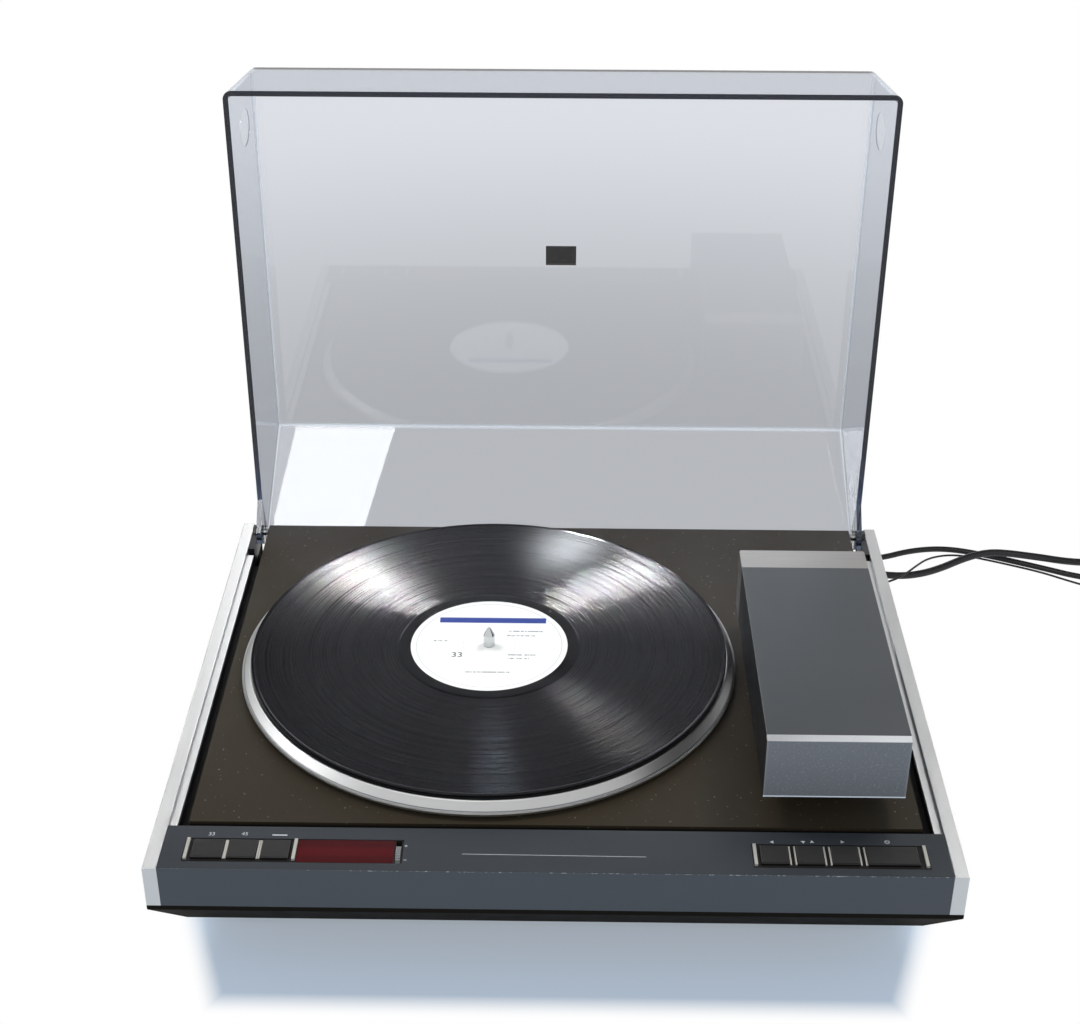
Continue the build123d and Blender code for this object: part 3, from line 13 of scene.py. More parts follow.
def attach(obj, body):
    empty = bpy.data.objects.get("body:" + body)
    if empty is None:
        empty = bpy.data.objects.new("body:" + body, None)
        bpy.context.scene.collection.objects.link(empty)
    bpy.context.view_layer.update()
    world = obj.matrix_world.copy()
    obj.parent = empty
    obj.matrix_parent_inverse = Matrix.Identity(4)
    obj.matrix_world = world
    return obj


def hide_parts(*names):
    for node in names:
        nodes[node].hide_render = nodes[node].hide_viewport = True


bl_info = {
    "name": "Turntable Finish",
    "version": (1, 0, 0),
    "blender": (4, 5, 0),
    "location": "View3D > Sidebar > Turntable",
    "description": "Finishes, cords, marks, stage and light for a turntable with a lid",
    "category": "Object",
}

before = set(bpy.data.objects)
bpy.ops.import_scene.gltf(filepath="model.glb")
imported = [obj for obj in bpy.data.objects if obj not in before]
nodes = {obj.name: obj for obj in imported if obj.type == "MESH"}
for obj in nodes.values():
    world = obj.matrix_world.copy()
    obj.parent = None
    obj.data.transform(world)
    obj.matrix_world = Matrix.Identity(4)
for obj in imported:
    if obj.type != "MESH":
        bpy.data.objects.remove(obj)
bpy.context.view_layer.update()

SPINDLE = Vector((-0.04335, -0.01125, 0.0))
PANEL_TOP = 0.075
RECORD_TOP = 0.087
INK_RISE = 0.00004
MILLIMETRE = 0.001
WHITE = (1.0, 1.0, 1.0)


def tone(red, green, blue):
    """A screen colour from 0 to 255 as the linear colour that a shader takes."""
    return tuple(
        (c / 3294.6) if c <= 10.3 else ((c / 255 + 0.055) / 1.055) ** 2.4
        for c in (red, green, blue)
    )


def shade(colour, share):
    """A linear colour made darker or lighter."""
    return tuple(share * c for c in colour)


class Nodes:
    """Short ways to add and join the nodes of a material or a world."""

    def __init__(self, tree):
        self.tree = tree

    def feed(self, socket, value):
        """Joins a socket to another, or gives it a value."""
        if isinstance(value, bpy.types.NodeSocket):
            self.tree.links.new(value, socket)
        elif socket.type == "RGBA":
            socket.default_value = (*value[:3], 1.0)
        else:
            socket.default_value = value

    def add(self, kind, inputs=None, **settings):
        node = self.tree.nodes.new(kind)
        for key, value in settings.items():
            setattr(node, key, value)
        for key, value in (inputs or {}).items():
            self.feed(node.inputs[key], value)
        return node

    def maths(self, operation, *values):
        inputs = dict(enumerate(values))
        return self.add("ShaderNodeMath", inputs, operation=operation).outputs[0]

    def plus(self, first, second):
        return self.maths("ADD", first, second)

    def minus(self, first, second):
        return self.maths("SUBTRACT", first, second)

    def times(self, first, second):
        return self.maths("MULTIPLY", first, second)

    def most(self, first, second):
        return self.maths("MAXIMUM", first, second)

    def unsigned(self, value):
        return self.maths("ABSOLUTE", value)

    def vector(self, operation, *values):
        inputs = dict(enumerate(values))
        return self.add("ShaderNodeVectorMath", inputs, operation=operation).outputs[0]

    def mix(self, share, first, second):
        """A colour between two others."""
        inputs = {0: share, 6: first, 7: second}
        return self.add("ShaderNodeMix", inputs, data_type="RGBA").outputs[2]

    def between(self, share, first, second):
        """A number between two others."""
        return self.add("ShaderNodeMix", {0: share, 2: first, 3: second}).outputs[0]

    def ramp(self, value, low, high, first=0.0, second=1.0, change="SMOOTHSTEP"):
        """A change from the first number to the second, by default a soft one."""
        inputs = {0: value, 1: low, 2: high, 3: first, 4: second}
        return self.add("ShaderNodeMapRange", inputs, interpolation_type=change).outputs[0]

    def below(self, value, low, high):
        """One up to the low place, and nothing from the high one on."""
        return self.ramp(value, low, high, 1.0, 0.0)

    def band(self, value, low, high, soft=0.0001):
        """One between two places, with soft edges."""
        rise = self.ramp(value, low - soft, low + soft)
        return self.times(rise, self.below(value, high - soft, high + soft))


SOCKETS = {
    "colour": "Base Color",
    "metal": "Metallic",
    "rough": "Roughness",
    "gloss": "Specular IOR Level",
    "ior": "IOR",
    "clear": "Transmission Weight",
    "grain": "Anisotropic",
    "grain_turn": "Anisotropic Rotation",
    "tangent": "Tangent",
    "normal": "Normal",
}


class Finish(Nodes):
    """A procedural material whose patterns follow Object coordinates."""

    def __init__(self, name, **values):
        self.material = bpy.data.materials.new(name)
        self.material.use_nodes = True
        super().__init__(self.material.node_tree)
        self.surface = self.tree.nodes["Principled BSDF"]
        self.end = self.tree.nodes["Material Output"]
        self.place = self.add("ShaderNodeTexCoord").outputs["Object"]
        self.x, self.y, self.z = self.add("ShaderNodeSeparateXYZ", {0: self.place}).outputs
        self.set(**values)

    def set(self, **values):
        for key, value in values.items():
            self.feed(self.surface.inputs[SOCKETS[key]], value)

    def noise(self, scale, detail=2.0, rough=0.5, stretch=(1, 1, 1)):
        spot = self.vector("MULTIPLY", self.place, tuple(scale * s for s in stretch))
        inputs = {"Vector": spot, "Scale": 1.0, "Detail": detail, "Roughness": rough}
        return self.add("ShaderNodeTexNoise", inputs).outputs[0]

    def bump(self, height, depth, strength=1.0):
        inputs = {"Strength": strength, "Distance": depth, "Height": height}
        return self.add("ShaderNodeBump", inputs).outputs[0]

    def around(self, centre):
        """Distance from a vertical axis, and the flat vector from it."""
        flat = self.vector("SUBTRACT", self.place, tuple(centre))
        flat = self.vector("MULTIPLY", flat, (1, 1, 0))
        reach = self.add("ShaderNodeVectorMath", {0: flat}, operation="LENGTH").outputs["Value"]
        return reach, flat

    def rings(self, reach, scale, detail=4.0, rough=0.7):
        """Noise that changes only with the distance from an axis."""
        inputs = {"W": reach, "Scale": scale, "Detail": detail, "Roughness": rough}
        return self.add("ShaderNodeTexNoise", inputs, noise_dimensions="1D").outputs[0]

    def tangent_along(self, direction):
        """A direction on the piece, turned with it into world space."""
        return self.add(
            "ShaderNodeVectorTransform",
            {0: direction},
            vector_type="VECTOR",
            convert_from="OBJECT",
            convert_to="WORLD",
        ).outputs[0]

    def tangent_round(self, flat):
        """The direction round an axis."""
        turned = self.vector("CROSS_PRODUCT", (0, 0, 1), flat)
        return self.tangent_along(self.vector("NORMALIZE", turned))


def dress(names, finish):
    """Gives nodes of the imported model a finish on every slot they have."""
    for name in names.split():
        piece = nodes[name]
        if not piece.material_slots:
            piece.data.materials.append(finish.material)
        for slot in piece.material_slots:
            slot.material = finish.material


def new_piece(name, mesh, finish, body):
    """Links a finished mesh as a piece that rides on a body."""
    piece = bpy.data.objects.new(name, mesh)
    bpy.context.scene.collection.objects.link(piece)
    mesh.materials.append(finish.material)
    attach(piece, body)


def close_mesh(work, name):
    """Turns a bmesh into a mesh with its faces outwards."""
    bmesh.ops.recalc_face_normals(work, faces=work.faces)
    mesh = bpy.data.meshes.new(name)
    work.to_mesh(mesh)
    work.free()
    return mesh


def text_mesh(name, text, size, place):
    """Printed characters, slightly raised and centred on a place."""
    curve = bpy.data.curves.new(name, "FONT")
    curve.body = text
    curve.size = size
    curve.align_x = "CENTER"
    curve.align_y = "CENTER"
    curve.extrude = INK_RISE / 2
    source = bpy.data.objects.new(name + "_outline", curve)
    bpy.context.scene.collection.objects.link(source)
    graph = bpy.context.evaluated_depsgraph_get()
    mesh = bpy.data.meshes.new_from_object(source.evaluated_get(graph))
    bpy.data.objects.remove(source)
    mesh.transform(Matrix.Translation(place))
    return mesh


def plain_moulding(name, colour, rough=0.5, gloss=0.35, depth=0.00002):
    """Moulded plastic with a fine spark texture and faint mottling."""
    finish = Finish(name, gloss=gloss)
    cloud = finish.noise(60.0, detail=3.0)
    spark = finish.noise(2400.0)
    finish.set(
        colour=finish.mix(cloud, colour, shade(colour, 1.25)),
        rough=finish.ramp(cloud, 0.2, 0.8, rough - 0.06, rough + 0.06),
        normal=finish.bump(spark, depth, 0.5),
    )
    return finish


def turned_metal(name, colour, rough=0.3, stretch=(1, 1, 1)):
    """Bare metal with fine marks, drawn out along one axis where stretch is small."""
    finish = Finish(name, metal=1.0)
    marks = finish.noise(900.0, 4.0, 0.6, stretch)
    cloud = finish.noise(25.0)
    finish.set(
        colour=finish.mix(cloud, colour, shade(colour, 0.86)),
        rough=finish.ramp(marks, 0.25, 0.75, rough - 0.07, rough + 0.09),
        normal=finish.bump(marks, 0.00001, 0.35),
    )
    return finish


class TurntableColours(bpy.types.PropertyGroup):
    """Colours of the finishes, in linear light."""

    deck: bpy.props.FloatVectorProperty(
        name="Deck", description="Matt paint of the deck plate",
        subtype="COLOR", default=tone(40, 34, 24),
    )
    panel: bpy.props.FloatVectorProperty(
        name="Panel", description="Paint of the front panel",
        subtype="COLOR", default=tone(46, 49, 52),
    )
    arm: bpy.props.FloatVectorProperty(
        name="Arm box", description="Paint of the arm's cover",
        subtype="COLOR", default=tone(50, 53, 56),
    )
    moulding: bpy.props.FloatVectorProperty(
        name="Moulding", description="Black moulded parts",
        subtype="COLOR", default=tone(24, 22, 21),
    )
    aluminium: bpy.props.FloatVectorProperty(
        name="Aluminium", description="Side rails and platter",
        subtype="COLOR", default=tone(196, 197, 197),
    )
    buttons: bpy.props.FloatVectorProperty(
        name="Buttons", description="Caps of the push buttons",
        subtype="COLOR", default=tone(42, 41, 40),
    )
    window: bpy.props.FloatVectorProperty(
        name="Window", description="Red filter of the display",
        subtype="COLOR", default=tone(62, 7, 10),
    )
    label: bpy.props.FloatVectorProperty(
        name="Label", description="Paper of the record's label",
        subtype="COLOR", default=tone(236, 236, 232),
    )
    band: bpy.props.FloatVectorProperty(
        name="Label band", description="Printed band of the label",
        subtype="COLOR", default=tone(48, 66, 140),
    )
    ink: bpy.props.FloatVectorProperty(
        name="Marks", description="Printed marks of the panel",
        subtype="COLOR", default=tone(206, 208, 212),
    )


class TurntableSizes(bpy.types.PropertyGroup):
    """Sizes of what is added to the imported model, and the light's powers."""

    mark_height: bpy.props.FloatProperty(
        name="Mark height", description="Height of the panel's numbers",
        unit="LENGTH", default=0.0027,
    )
    mains_diameter: bpy.props.FloatProperty(
        name="Mains lead", description="Diameter of the mains lead",
        unit="LENGTH", default=0.0055,
    )
    audio_diameter: bpy.props.FloatProperty(
        name="Audio lead", description="Diameter of the audio lead",
        unit="LENGTH", default=0.0045,
    )
    earth_diameter: bpy.props.FloatProperty(
        name="Earth wire", description="Diameter of the earth wire",
        unit="LENGTH", default=0.0016,
    )
    lens: bpy.props.FloatProperty(
        name="Lens", description="Focal length on a 36 mm wide sensor", default=61.44
    )
    key_power: bpy.props.FloatProperty(
        name="Key light", description="Power of each rear light",
        unit="POWER", default=19.0,
    )
    gleam_power: bpy.props.FloatProperty(
        name="Gleam", description="Share of the record's lights that is used", default=1.0
    )
    fill_power: bpy.props.FloatProperty(
        name="Fill light", description="Power of the front light",
        unit="POWER", default=14.0,
    )


CAMERA_PLACE = (0.00192, -0.98142, 0.75640)
CAMERA_AHEAD = (-0.01162, 0.86175, -0.50720)
CAMERA_ROLL = 0.14


class TURNTABLE_OT_camera(bpy.types.Operator):
    """Places the camera"""

    bl_idname = "turntable.camera"
    bl_label = "Camera"

    def execute(self, context):
        data = bpy.data.cameras.new("camera")
        data.lens = context.scene.turntable_sizes.lens
        data.sensor_width = 36.0
        data.clip_start = 0.05
        camera = bpy.data.objects.new("camera", data)
        context.scene.collection.objects.link(camera)
        ahead = Vector(CAMERA_AHEAD).normalized()
        right = ahead.cross(Vector((0, 0, 1))).normalized()
        up = right.cross(ahead)
        roll = Matrix.Rotation(-math.radians(CAMERA_ROLL), 3, ahead)
        right, up = roll @ right, roll @ up
        turn = Matrix((right, up, -ahead)).transposed().to_4x4()
        camera.matrix_world = Matrix.Translation(CAMERA_PLACE) @ turn
        context.scene.camera = camera
        return {"FINISHED"}


# Routes of the cords from the tray to their coils, in millimetres
MAINS_ROUTE = (
    (172, 171.881, 17.193), (172, 180.451, 10.297), (174.5, 190.5, 5.4), (182.5, 201.5, 2.75),
    (196, 210.5, 2.75), (213, 214.5, 2.75), (232, 212.5, 2.75), (251, 208.8, 2.75),
    (265, 208.3, 2.75), (280, 212.6, 2.75), (294.9, 219.7, 3.6), (308.7, 226, 6.4),
    (320.5, 229, 9.2), (332.8, 230.4, 10.9), (345.6, 228.6, 11.3), (358.5, 225, 11.6),
    (371.5, 223, 10.9), (386, 225.4, 7), (403, 229.2, 3.2), (424, 230.6, 2.75),
    (443, 230, 2.75), (462, 230, 2.75),
)
AUDIO_ROUTE = (
    (140, 167.206, 20.954), (140, 175.777, 14.058), (143.5, 188, 7.4), (153, 203, 3),
    (168, 217, 2.25), (188, 227, 2.25), (210, 231.5, 2.25), (231, 232, 2.25),
    (251.4, 235.1, 2.25), (270.6, 244.3, 2.25), (290, 248.8, 2.25), (306.2, 248.2, 2.25),
    (321, 244, 2.25), (335.5, 238.4, 2.25), (350.4, 231.9, 2.25), (372, 221.9, 2.25),
    (397.4, 209.4, 2.25), (428, 203.6, 2.25), (458, 202.2, 2.25), (489, 202.2, 2.25),
)
EARTH_ROUTE = (
    (190, 154.741, 30.985), (190, 163.311, 24.089), (192, 170.5, 15.5), (197.5, 178, 8.5),
    (207, 184.5, 4), (219, 189.5, 2.4), (232, 192.5, 2.6), (243.5, 194.6, 4),
    (252, 195.7, 6.4), (257.8, 197, 8.6), (264.3, 202.4, 9.4), (272.9, 214.1, 8),
    (283.4, 229.2, 4.6), (294.6, 239, 1.6), (306.1, 242.3, 0.8), (319.7, 240.2, 0.8),
    (333.9, 234.6, 0.8), (348.7, 228.2, 0.8), (370.3, 218.2, 0.8), (385, 208.5, 0.8),
    (398, 200.6, 0.8), (408, 196.3, 0.8), (417, 196.3, 0.8),
)
# How each cord is wound: middle radius, pitch, turns, layers and the side it turns to
MAINS_COIL = {"middle": 33.0, "pitch": 7.2, "count": 7, "layers": 2, "side": 1}
AUDIO_COIL = {"middle": 26.0, "pitch": 6.0, "count": 5, "layers": 2, "side": -1}
EARTH_COIL = {"middle": 9.0, "pitch": 2.5, "count": 14, "layers": 4, "side": -1}
# From the top of the earth wire's coil down to its lug
EARTH_DROP = 3 * 2.5 + 0.8 - 1.5
MAINS_TAIL = ((20, 0, 0), (40, 0, 0))
AUDIO_TAIL = ((15, 0, 0), (30, 0, 0))
EARTH_TAIL = (
    (6, 0, 0), (13, 0, -0.24 * EARTH_DROP), (21, 0, -0.78 * EARTH_DROP),
    (28, 0, -EARTH_DROP), (34, 0, -EARTH_DROP),
)
COIL_POINTS = 16
PLUG_BLACK = tone(30, 30, 31)


class TURNTABLE_OT_cords(bpy.types.Operator):
    """Lays the mains lead, the audio lead and the earth wire"""

    bl_idname = "turntable.cords"
    bl_label = "Cords"

    def turns(self, start, wire, middle, pitch, count, layers, side):
        """Points of a wound coil that starts along +X, and the place where it ends."""
        share = (count - 0.5 * (layers - 1)) / layers
        outer = middle + share * pitch / 2
        inner = middle - share * pitch / 2
        centre = Vector((start[0] + 2 * wire, start[1] + side * outer, start[2]))
        points = []
        for step in range(COIL_POINTS * count):
            turn = (step + 0.5) / COIL_POINTS
            layer = int(turn // (share + 0.5))
            within = turn - layer * (share + 0.5)
            way = min(within / share, 1.0)
            climb = max(within - share, 0.0) / 0.5
            if layer % 2:
                way = 1.0 - way
            radius = (outer + (inner - outer) * way) / math.cos(math.pi / COIL_POINTS)
            angle = side * (2 * math.pi * turn - math.pi / 2)
            lift = (layer + climb) * pitch
            spot = (radius * math.cos(angle), radius * math.sin(angle), lift)
            points.append(centre + Vector(spot))
        ends = outer if layers % 2 == 0 else inner
        return points, centre + Vector((0, -side * ends, (layers - 1) * pitch))

    def lay(self, name, route, coil, tail, diameter, length, far_end, stiffness, pieces):
        """A cord along its route, coil and tail, in place of its solids."""
        points = [Vector(p) for p in route]
        wire = diameter * 500  # the wire's radius in millimetres
        wound, last = self.turns(points[-1], wire, **coil)
        points += wound + [last + Vector(p) for p in tail]
        curve = bpy.data.curves.new(name, "CURVE")
        curve.dimensions = "3D"
        curve.bevel_depth = diameter / 2
        curve.bevel_resolution = 4
        curve.resolution_u = 5
        curve.use_fill_caps = True
        spline = curve.splines.new("NURBS")
        spline.points.add(len(points) - 1)
        for target, point in zip(spline.points, points):
            target.co = (*(MILLIMETRE * point), 1.0)
        spline.order_u = 3
        spline.use_endpoint_u = True
        cord = bpy.data.objects.new(name, curve)
        bpy.context.scene.collection.objects.link(cord)
        curve.materials.append(self.sheath.material)
        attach(cord, "base")
        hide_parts(*pieces[:-1])

    def plug(self, name, finish, metal_from, metal_to, metal_tone):
        """A moulded plug whose far end is bare metal."""
        plug = plain_moulding(finish, PLUG_BLACK, 0.45, 0.4, 0.00003)
        metal = plug.ramp(plug.x, metal_from, metal_to)
        plug.set(metal=metal, colour=plug.mix(metal, PLUG_BLACK, metal_tone))
        dress(name, plug)

    def execute(self, context):
        sizes = context.scene.turntable_sizes
        self.sheath = plain_moulding("cord_sheath", tone(20, 20, 21), 0.42, 0.4)
        self.lay(
            "mains_cord", MAINS_ROUTE, MAINS_COIL, MAINS_TAIL, sizes.mains_diameter,
            1.788, "plug", "medium", ("mains_lead", "mains_coil", "mains_plug"),
        )
        self.lay(
            "audio_cord", AUDIO_ROUTE, AUDIO_COIL, AUDIO_TAIL, sizes.audio_diameter,
            1.23, "plug", "medium", ("audio_lead", "audio_coil", "audio_plug"),
        )
        self.lay(
            "earth_cord", EARTH_ROUTE, EARTH_COIL, EARTH_TAIL, sizes.earth_diameter,
            1.107, "fitting", "limp", ("earth_wire", "earth_coil", "earth_lug"),
        )
        dress("cord_reliefs", plain_moulding("cord_boots", tone(25, 25, 26), 0.5, 0.35, 0.00003))
        self.plug("mains_plug", "plug_body", 0.5414, 0.5416, tone(200, 186, 150))
        self.plug("audio_plug", "plug_grip", 0.5564, 0.5566, tone(196, 196, 198))
        dress("earth_lug", turned_metal("plug_metal", tone(196, 190, 172), 0.28))
        return {"FINISHED"}


FLOOR_REACH = 6.0
# Where the floor changes from its own shading, with the shadow, to plain white
WHITE_BESIDE = (0.200, 0.224)
WHITE_AHEAD = (0.222, 0.248)
WHITE_BEHIND = (0.150, 0.176)
LEAST_WHITE = 0.24
MASK_MIDDLE = 0.0014
# The outline narrows ahead of this place
NARROWS_FROM = -0.17
NARROWS_BY = 0.35
# The room's light by a ray's height, and high up by its way from front to rear
HORIZON = (0.28, 0.5)
FRONT_TO_REAR = (-0.4, 0.1)
SKY_TINT = (0.68, 0.84, 1.0)

KEY_REACH = 1.9
KEY_SIZE = (0.7, 0.5)
KEY_COLOUR = (1.0, 0.96, 0.9)
SHINE_SIZE = (0.5, 0.4)
SHINE_POWER = 12.0
PALE_BLUE = (0.7, 0.85, 1.0)
# The record's streaks: place and target from its middle, size, power, colour and spread
GLEAMS = (
    ("gleam_left", (-0.474, 1.113, 1.491), (0.085, 0.080, 0), (0.12, 0.12), 0.36, WHITE, 5),
    ("gleam_right", (0.338, 1.106, 1.540), (-0.090, 0.084, 0), (0.12, 0.12), 0.4, WHITE, 5),
    ("slim", (-0.168, 1.296, 1.598), (0.050, 0.122, 0), (0.04, 0.03), 0.009, (0.9, 0.95, 1.0), 2),
    ("thread", (-0.016, 0.681, 1.831), (0.007, -0.123, 0), (0.02, 0.02), 0.005, PALE_BLUE, 4),
    ("faint", (0.537, 0.983, 1.512), (0.061, -0.065, 0), (0.06, 0.06), 0.012, WHITE, 4),
)


class TURNTABLE_OT_stage(bpy.types.Operator):
    """Lays the floor and sets the lights"""

    bl_idname = "turntable.stage"
    bl_label = "Stage and light"

    def lamp(self, name, place, target, size, power, colour=WHITE, spread=180):
        """A soft lamp that lights the pieces and doesn't show in them."""
        data = bpy.data.lights.new(name, "AREA")
        data.shape = "RECTANGLE"
        data.size, data.size_y = size
        data.energy = power
        data.color = colour
        data.spread = math.radians(spread)
        lamp = bpy.data.objects.new(name, data)
        bpy.context.scene.collection.objects.link(lamp)
        lamp.visible_glossy = False
        lamp.visible_camera = False
        aim = (Vector(target) - Vector(place)).to_track_quat("-Z", "Y")
        lamp.matrix_world = Matrix.Translation(place) @ aim.to_matrix().to_4x4()
        return lamp

    def gleam(self, name, place, target, size, power, only="", colour=WHITE, spread=180):
        """A lamp that only reflections show, and only in the pieces it names."""
        lamp = self.lamp(name, place, target, size, power, colour, spread)
        lamp.visible_diffuse = False
        lamp.visible_glossy = True
        if only:
            lit = bpy.data.collections.new(name + "_lights")
            for piece in only.split():
                lit.objects.link(nodes[piece])
            lamp.light_linking.receiver_collection = lit
            lamp.light_linking.blocker_collection = lit
            lamp.data.cycles.use_multiple_importance_sampling = False

    def lay_floor(self, context):
        work = bmesh.new()
        bmesh.ops.create_grid(work, x_segments=1, y_segments=1, size=FLOOR_REACH)
        mesh = bpy.data.meshes.new("floor")
        work.to_mesh(mesh)
        work.free()
        floor = bpy.data.objects.new("floor", mesh)
        context.scene.collection.objects.link(floor)
        finish = Finish("pale_floor", colour=tone(203, 229, 255), rough=0.6, gloss=0.1)
        paths = finish.add("ShaderNodeLightPath").outputs
        seen = finish.most(paths["Is Camera Ray"], paths["Is Glossy Ray"])
        seen = finish.most(seen, paths["Is Transmission Ray"])
        reach = finish.around((0, -0.03, 0))[0]
        # Painted shadow: seen through the lid, the floor glows dimmer near the body
        through = finish.ramp(reach, 0.45, 1.4, 0.62, 1.0)
        strength = finish.between(paths["Is Transmission Ray"], 1.0, through)
        glow = finish.add("ShaderNodeEmission", {"Color": WHITE, "Strength": strength})
        beside = finish.unsigned(finish.minus(finish.x, MASK_MIDDLE))
        slant = finish.times(finish.minus(finish.y, NARROWS_FROM), NARROWS_BY)
        beside = finish.most(beside, finish.minus(beside, slant))
        ahead = finish.times(finish.y, -1.0)
        bright = finish.most(finish.ramp(beside, *WHITE_BESIDE), finish.ramp(ahead, *WHITE_AHEAD))
        bright = finish.most(bright, finish.ramp(finish.y, *WHITE_BEHIND))
        bright = finish.most(bright, LEAST_WHITE)
        blend = finish.add("ShaderNodeMixShader", {
            0: finish.times(seen, bright),
            1: finish.surface.outputs[0],
            2: glow.outputs[0],
        })
        finish.feed(finish.end.inputs["Surface"], blend.outputs[0])
        mesh.materials.append(finish.material)

    def light_room(self, context):
        world = bpy.data.worlds.new("pale_room")
        world.use_nodes = True
        context.scene.world = world
        sky = Nodes(world.node_tree)
        paths = sky.add("ShaderNodeLightPath").outputs
        way = sky.add("ShaderNodeTexCoord").outputs["Generated"]
        way = sky.add("ShaderNodeSeparateXYZ", {0: way}).outputs
        levels = []
        for front, rear, plain in ((0.9, 0.9, 1.0), (0.9, 0.03, 0.34)):
            shown = sky.ramp(way[1], *FRONT_TO_REAR, front, rear, "LINEAR")
            levels.append(sky.between(paths["Is Glossy Ray"], plain, shown))
        level = sky.ramp(way[2], *HORIZON, *levels, "LINEAR")
        seen = sky.most(paths["Is Camera Ray"], paths["Is Transmission Ray"])
        background = sky.tree.nodes["Background"]
        sky.feed(background.inputs["Strength"], sky.between(seen, level, 1.0))
        tint = sky.mix(paths["Is Diffuse Ray"], WHITE, SKY_TINT)
        sky.feed(background.inputs["Color"], tint)

    def hang_lamps(self, sizes):
        record = SPINDLE + Vector((0, 0, RECORD_TOP))
        for side, name in ((-0.5, "left"), (0.5, "right")):
            place = record + KEY_REACH * Vector((side, 0.36, 0.79)).normalized()
            self.lamp("key_" + name, place, record, KEY_SIZE, sizes.key_power, KEY_COLOUR)
            self.gleam(
                "shine_" + name, place, record, SHINE_SIZE, SHINE_POWER,
                "left_rail right_rail arm_cover",
            )
        for name, place, target, size, power, colour, spread in GLEAMS:
            self.gleam(
                name, record + Vector(place), record + Vector(target), size,
                power * sizes.gleam_power, "record", colour, spread,
            )
        place = record + Vector((-0.2, 1.45, 1.15))
        self.gleam("sun", place, (-0.22, 0, 0.08), (0.5, 0.4), 5.5, "left_rail")
        self.gleam("window", (-2.2, -0.05, 0.85), (0, 0, 0.08), (1.2, 0.7), 9.0, "platter")
        self.lamp("fill", (0.1, -1.9, 1.3), (0, -0.1, 0.05), (1.6, 1.0), sizes.fill_power)
        self.gleam("card", (-0.55, -0.9, 1.77), (-0.15, 0.18, 0.1), (0.42, 0.58), 6.4)
        self.gleam("screen", (0, 2.5, 1.1), (0, 0.18, 0.39), (2.4, 0.5), 9.0)

    def execute(self, context):
        context.scene.view_settings.view_transform = "Standard"
        self.lay_floor(context)
        self.light_room(context)
        self.hang_lamps(context.scene.turntable_sizes)
        return {"FINISHED"}


# Soft limits of the panel's front face and the rails' ends, and the panel's worn fold
PANEL_FACE = (-0.2124, -0.2122)
RAIL_ENDS = (-0.2126, -0.2124)
FOLD_FRONT = -0.2127
FOLD_TOP = 0.0749
WORN_WIDTH = (0.0001, 0.0007)


class TURNTABLE_OT_body(bpy.types.Operator):
    """Finishes the tray, rails, deck and panels"""

    bl_idname = "turntable.body"
    bl_label = "Body"

    def paint_deck(self, colours):
        deck = Finish("deck_paint", gloss=0.3)
        cloud = deck.noise(14.0, 4.0, 0.6)
        fine = deck.noise(1700.0)
        dust = deck.ramp(deck.noise(420.0, detail=1.0), 0.73, 0.78)
        paint = deck.mix(cloud, shade(colours.deck, 0.9), shade(colours.deck, 1.12))
        paint = deck.mix(deck.times(fine, 0.18), paint, tone(80, 72, 58))
        deck.set(
            colour=deck.mix(deck.times(dust, 0.35), paint, tone(150, 146, 138)),
            rough=deck.ramp(cloud, 0.3, 0.7, 0.5, 0.6),
            normal=deck.bump(fine, 0.00003, 0.6),
        )
        dress("deck_plate", deck)

    def paint_panel(self, colours):
        panel = Finish("panel_paint", gloss=0.4)
        cloud = panel.noise(18.0, 4.0, 0.6)
        fine = panel.noise(2100.0)
        front = panel.below(panel.y, *PANEL_FACE)
        paint = panel.mix(front, colours.panel, tone(54, 58, 62))
        paint = panel.mix(panel.times(cloud, 0.3), paint, tone(64, 70, 78))
        behind = panel.minus(panel.y, FOLD_FRONT)
        under = panel.minus(FOLD_TOP, panel.z)
        fold = panel.ramp(panel.most(behind, under), *WORN_WIDTH, 0.25, 0.0)
        spared = panel.ramp(panel.x, -0.18, -0.05, -0.08, 0.0)
        chip = panel.noise(700.0, 5.0, 0.8, (0.5, 1.6, 1.6))
        worn = panel.ramp(panel.plus(panel.plus(chip, spared), fold), 0.76, 0.8)
        panel.set(
            colour=panel.mix(worn, paint, tone(160, 162, 166)),
            rough=panel.ramp(cloud, 0.3, 0.7, 0.36, 0.48),
            normal=panel.bump(fine, 0.00003, 0.5),
        )
        dress("front_panel", panel)

    def brush_rails(self, colours):
        rail = Finish("rail_aluminium", metal=1.0, grain=0.55)
        drawn = rail.noise(1500.0, 4.0, 0.65, (1.0, 0.012, 1.0))
        cloud = rail.noise(9.0, detail=3.0)
        end = rail.below(rail.y, *RAIL_ENDS)
        bare = rail.mix(cloud, colours.aluminium, shade(colours.aluminium, 0.82))
        rail.set(
            colour=rail.mix(end, bare, tone(196, 194, 190)),
            rough=rail.ramp(drawn, 0.25, 0.75, 0.30, 0.46),
            metal=rail.minus(1.0, rail.times(end, 0.6)),
            tangent=rail.tangent_along((0, 1, 0)),
            normal=rail.bump(drawn, 0.00001, 0.3),
        )
        dress("left_rail right_rail", rail)

    def execute(self, context):
        colours = context.scene.turntable_colours
        self.paint_deck(colours)
        self.paint_panel(colours)
        self.brush_rails(colours)
        black = plain_moulding("black_moulding", colours.moulding, 0.5, 0.3, 0.00003)
        dress("foot_cups deck_frame panel_bezels rear_panel", black)
        tray = plain_moulding("tray_moulding", tone(20, 17, 13), 0.7, 0.04, 0.00004)
        dress("base_tray", tray)
        dress("foot_pads", plain_moulding("foot_rubber", tone(18, 18, 18), 0.8, 0.15, 0.00005))
        dress("tray_screws hinge_pins", turned_metal("zinc_plate", tone(150, 150, 146), 0.35))
        dress("hinge_brackets", plain_moulding("black_paint", tone(20, 20, 20), 0.38, 0.45))
        return {"FINISHED"}
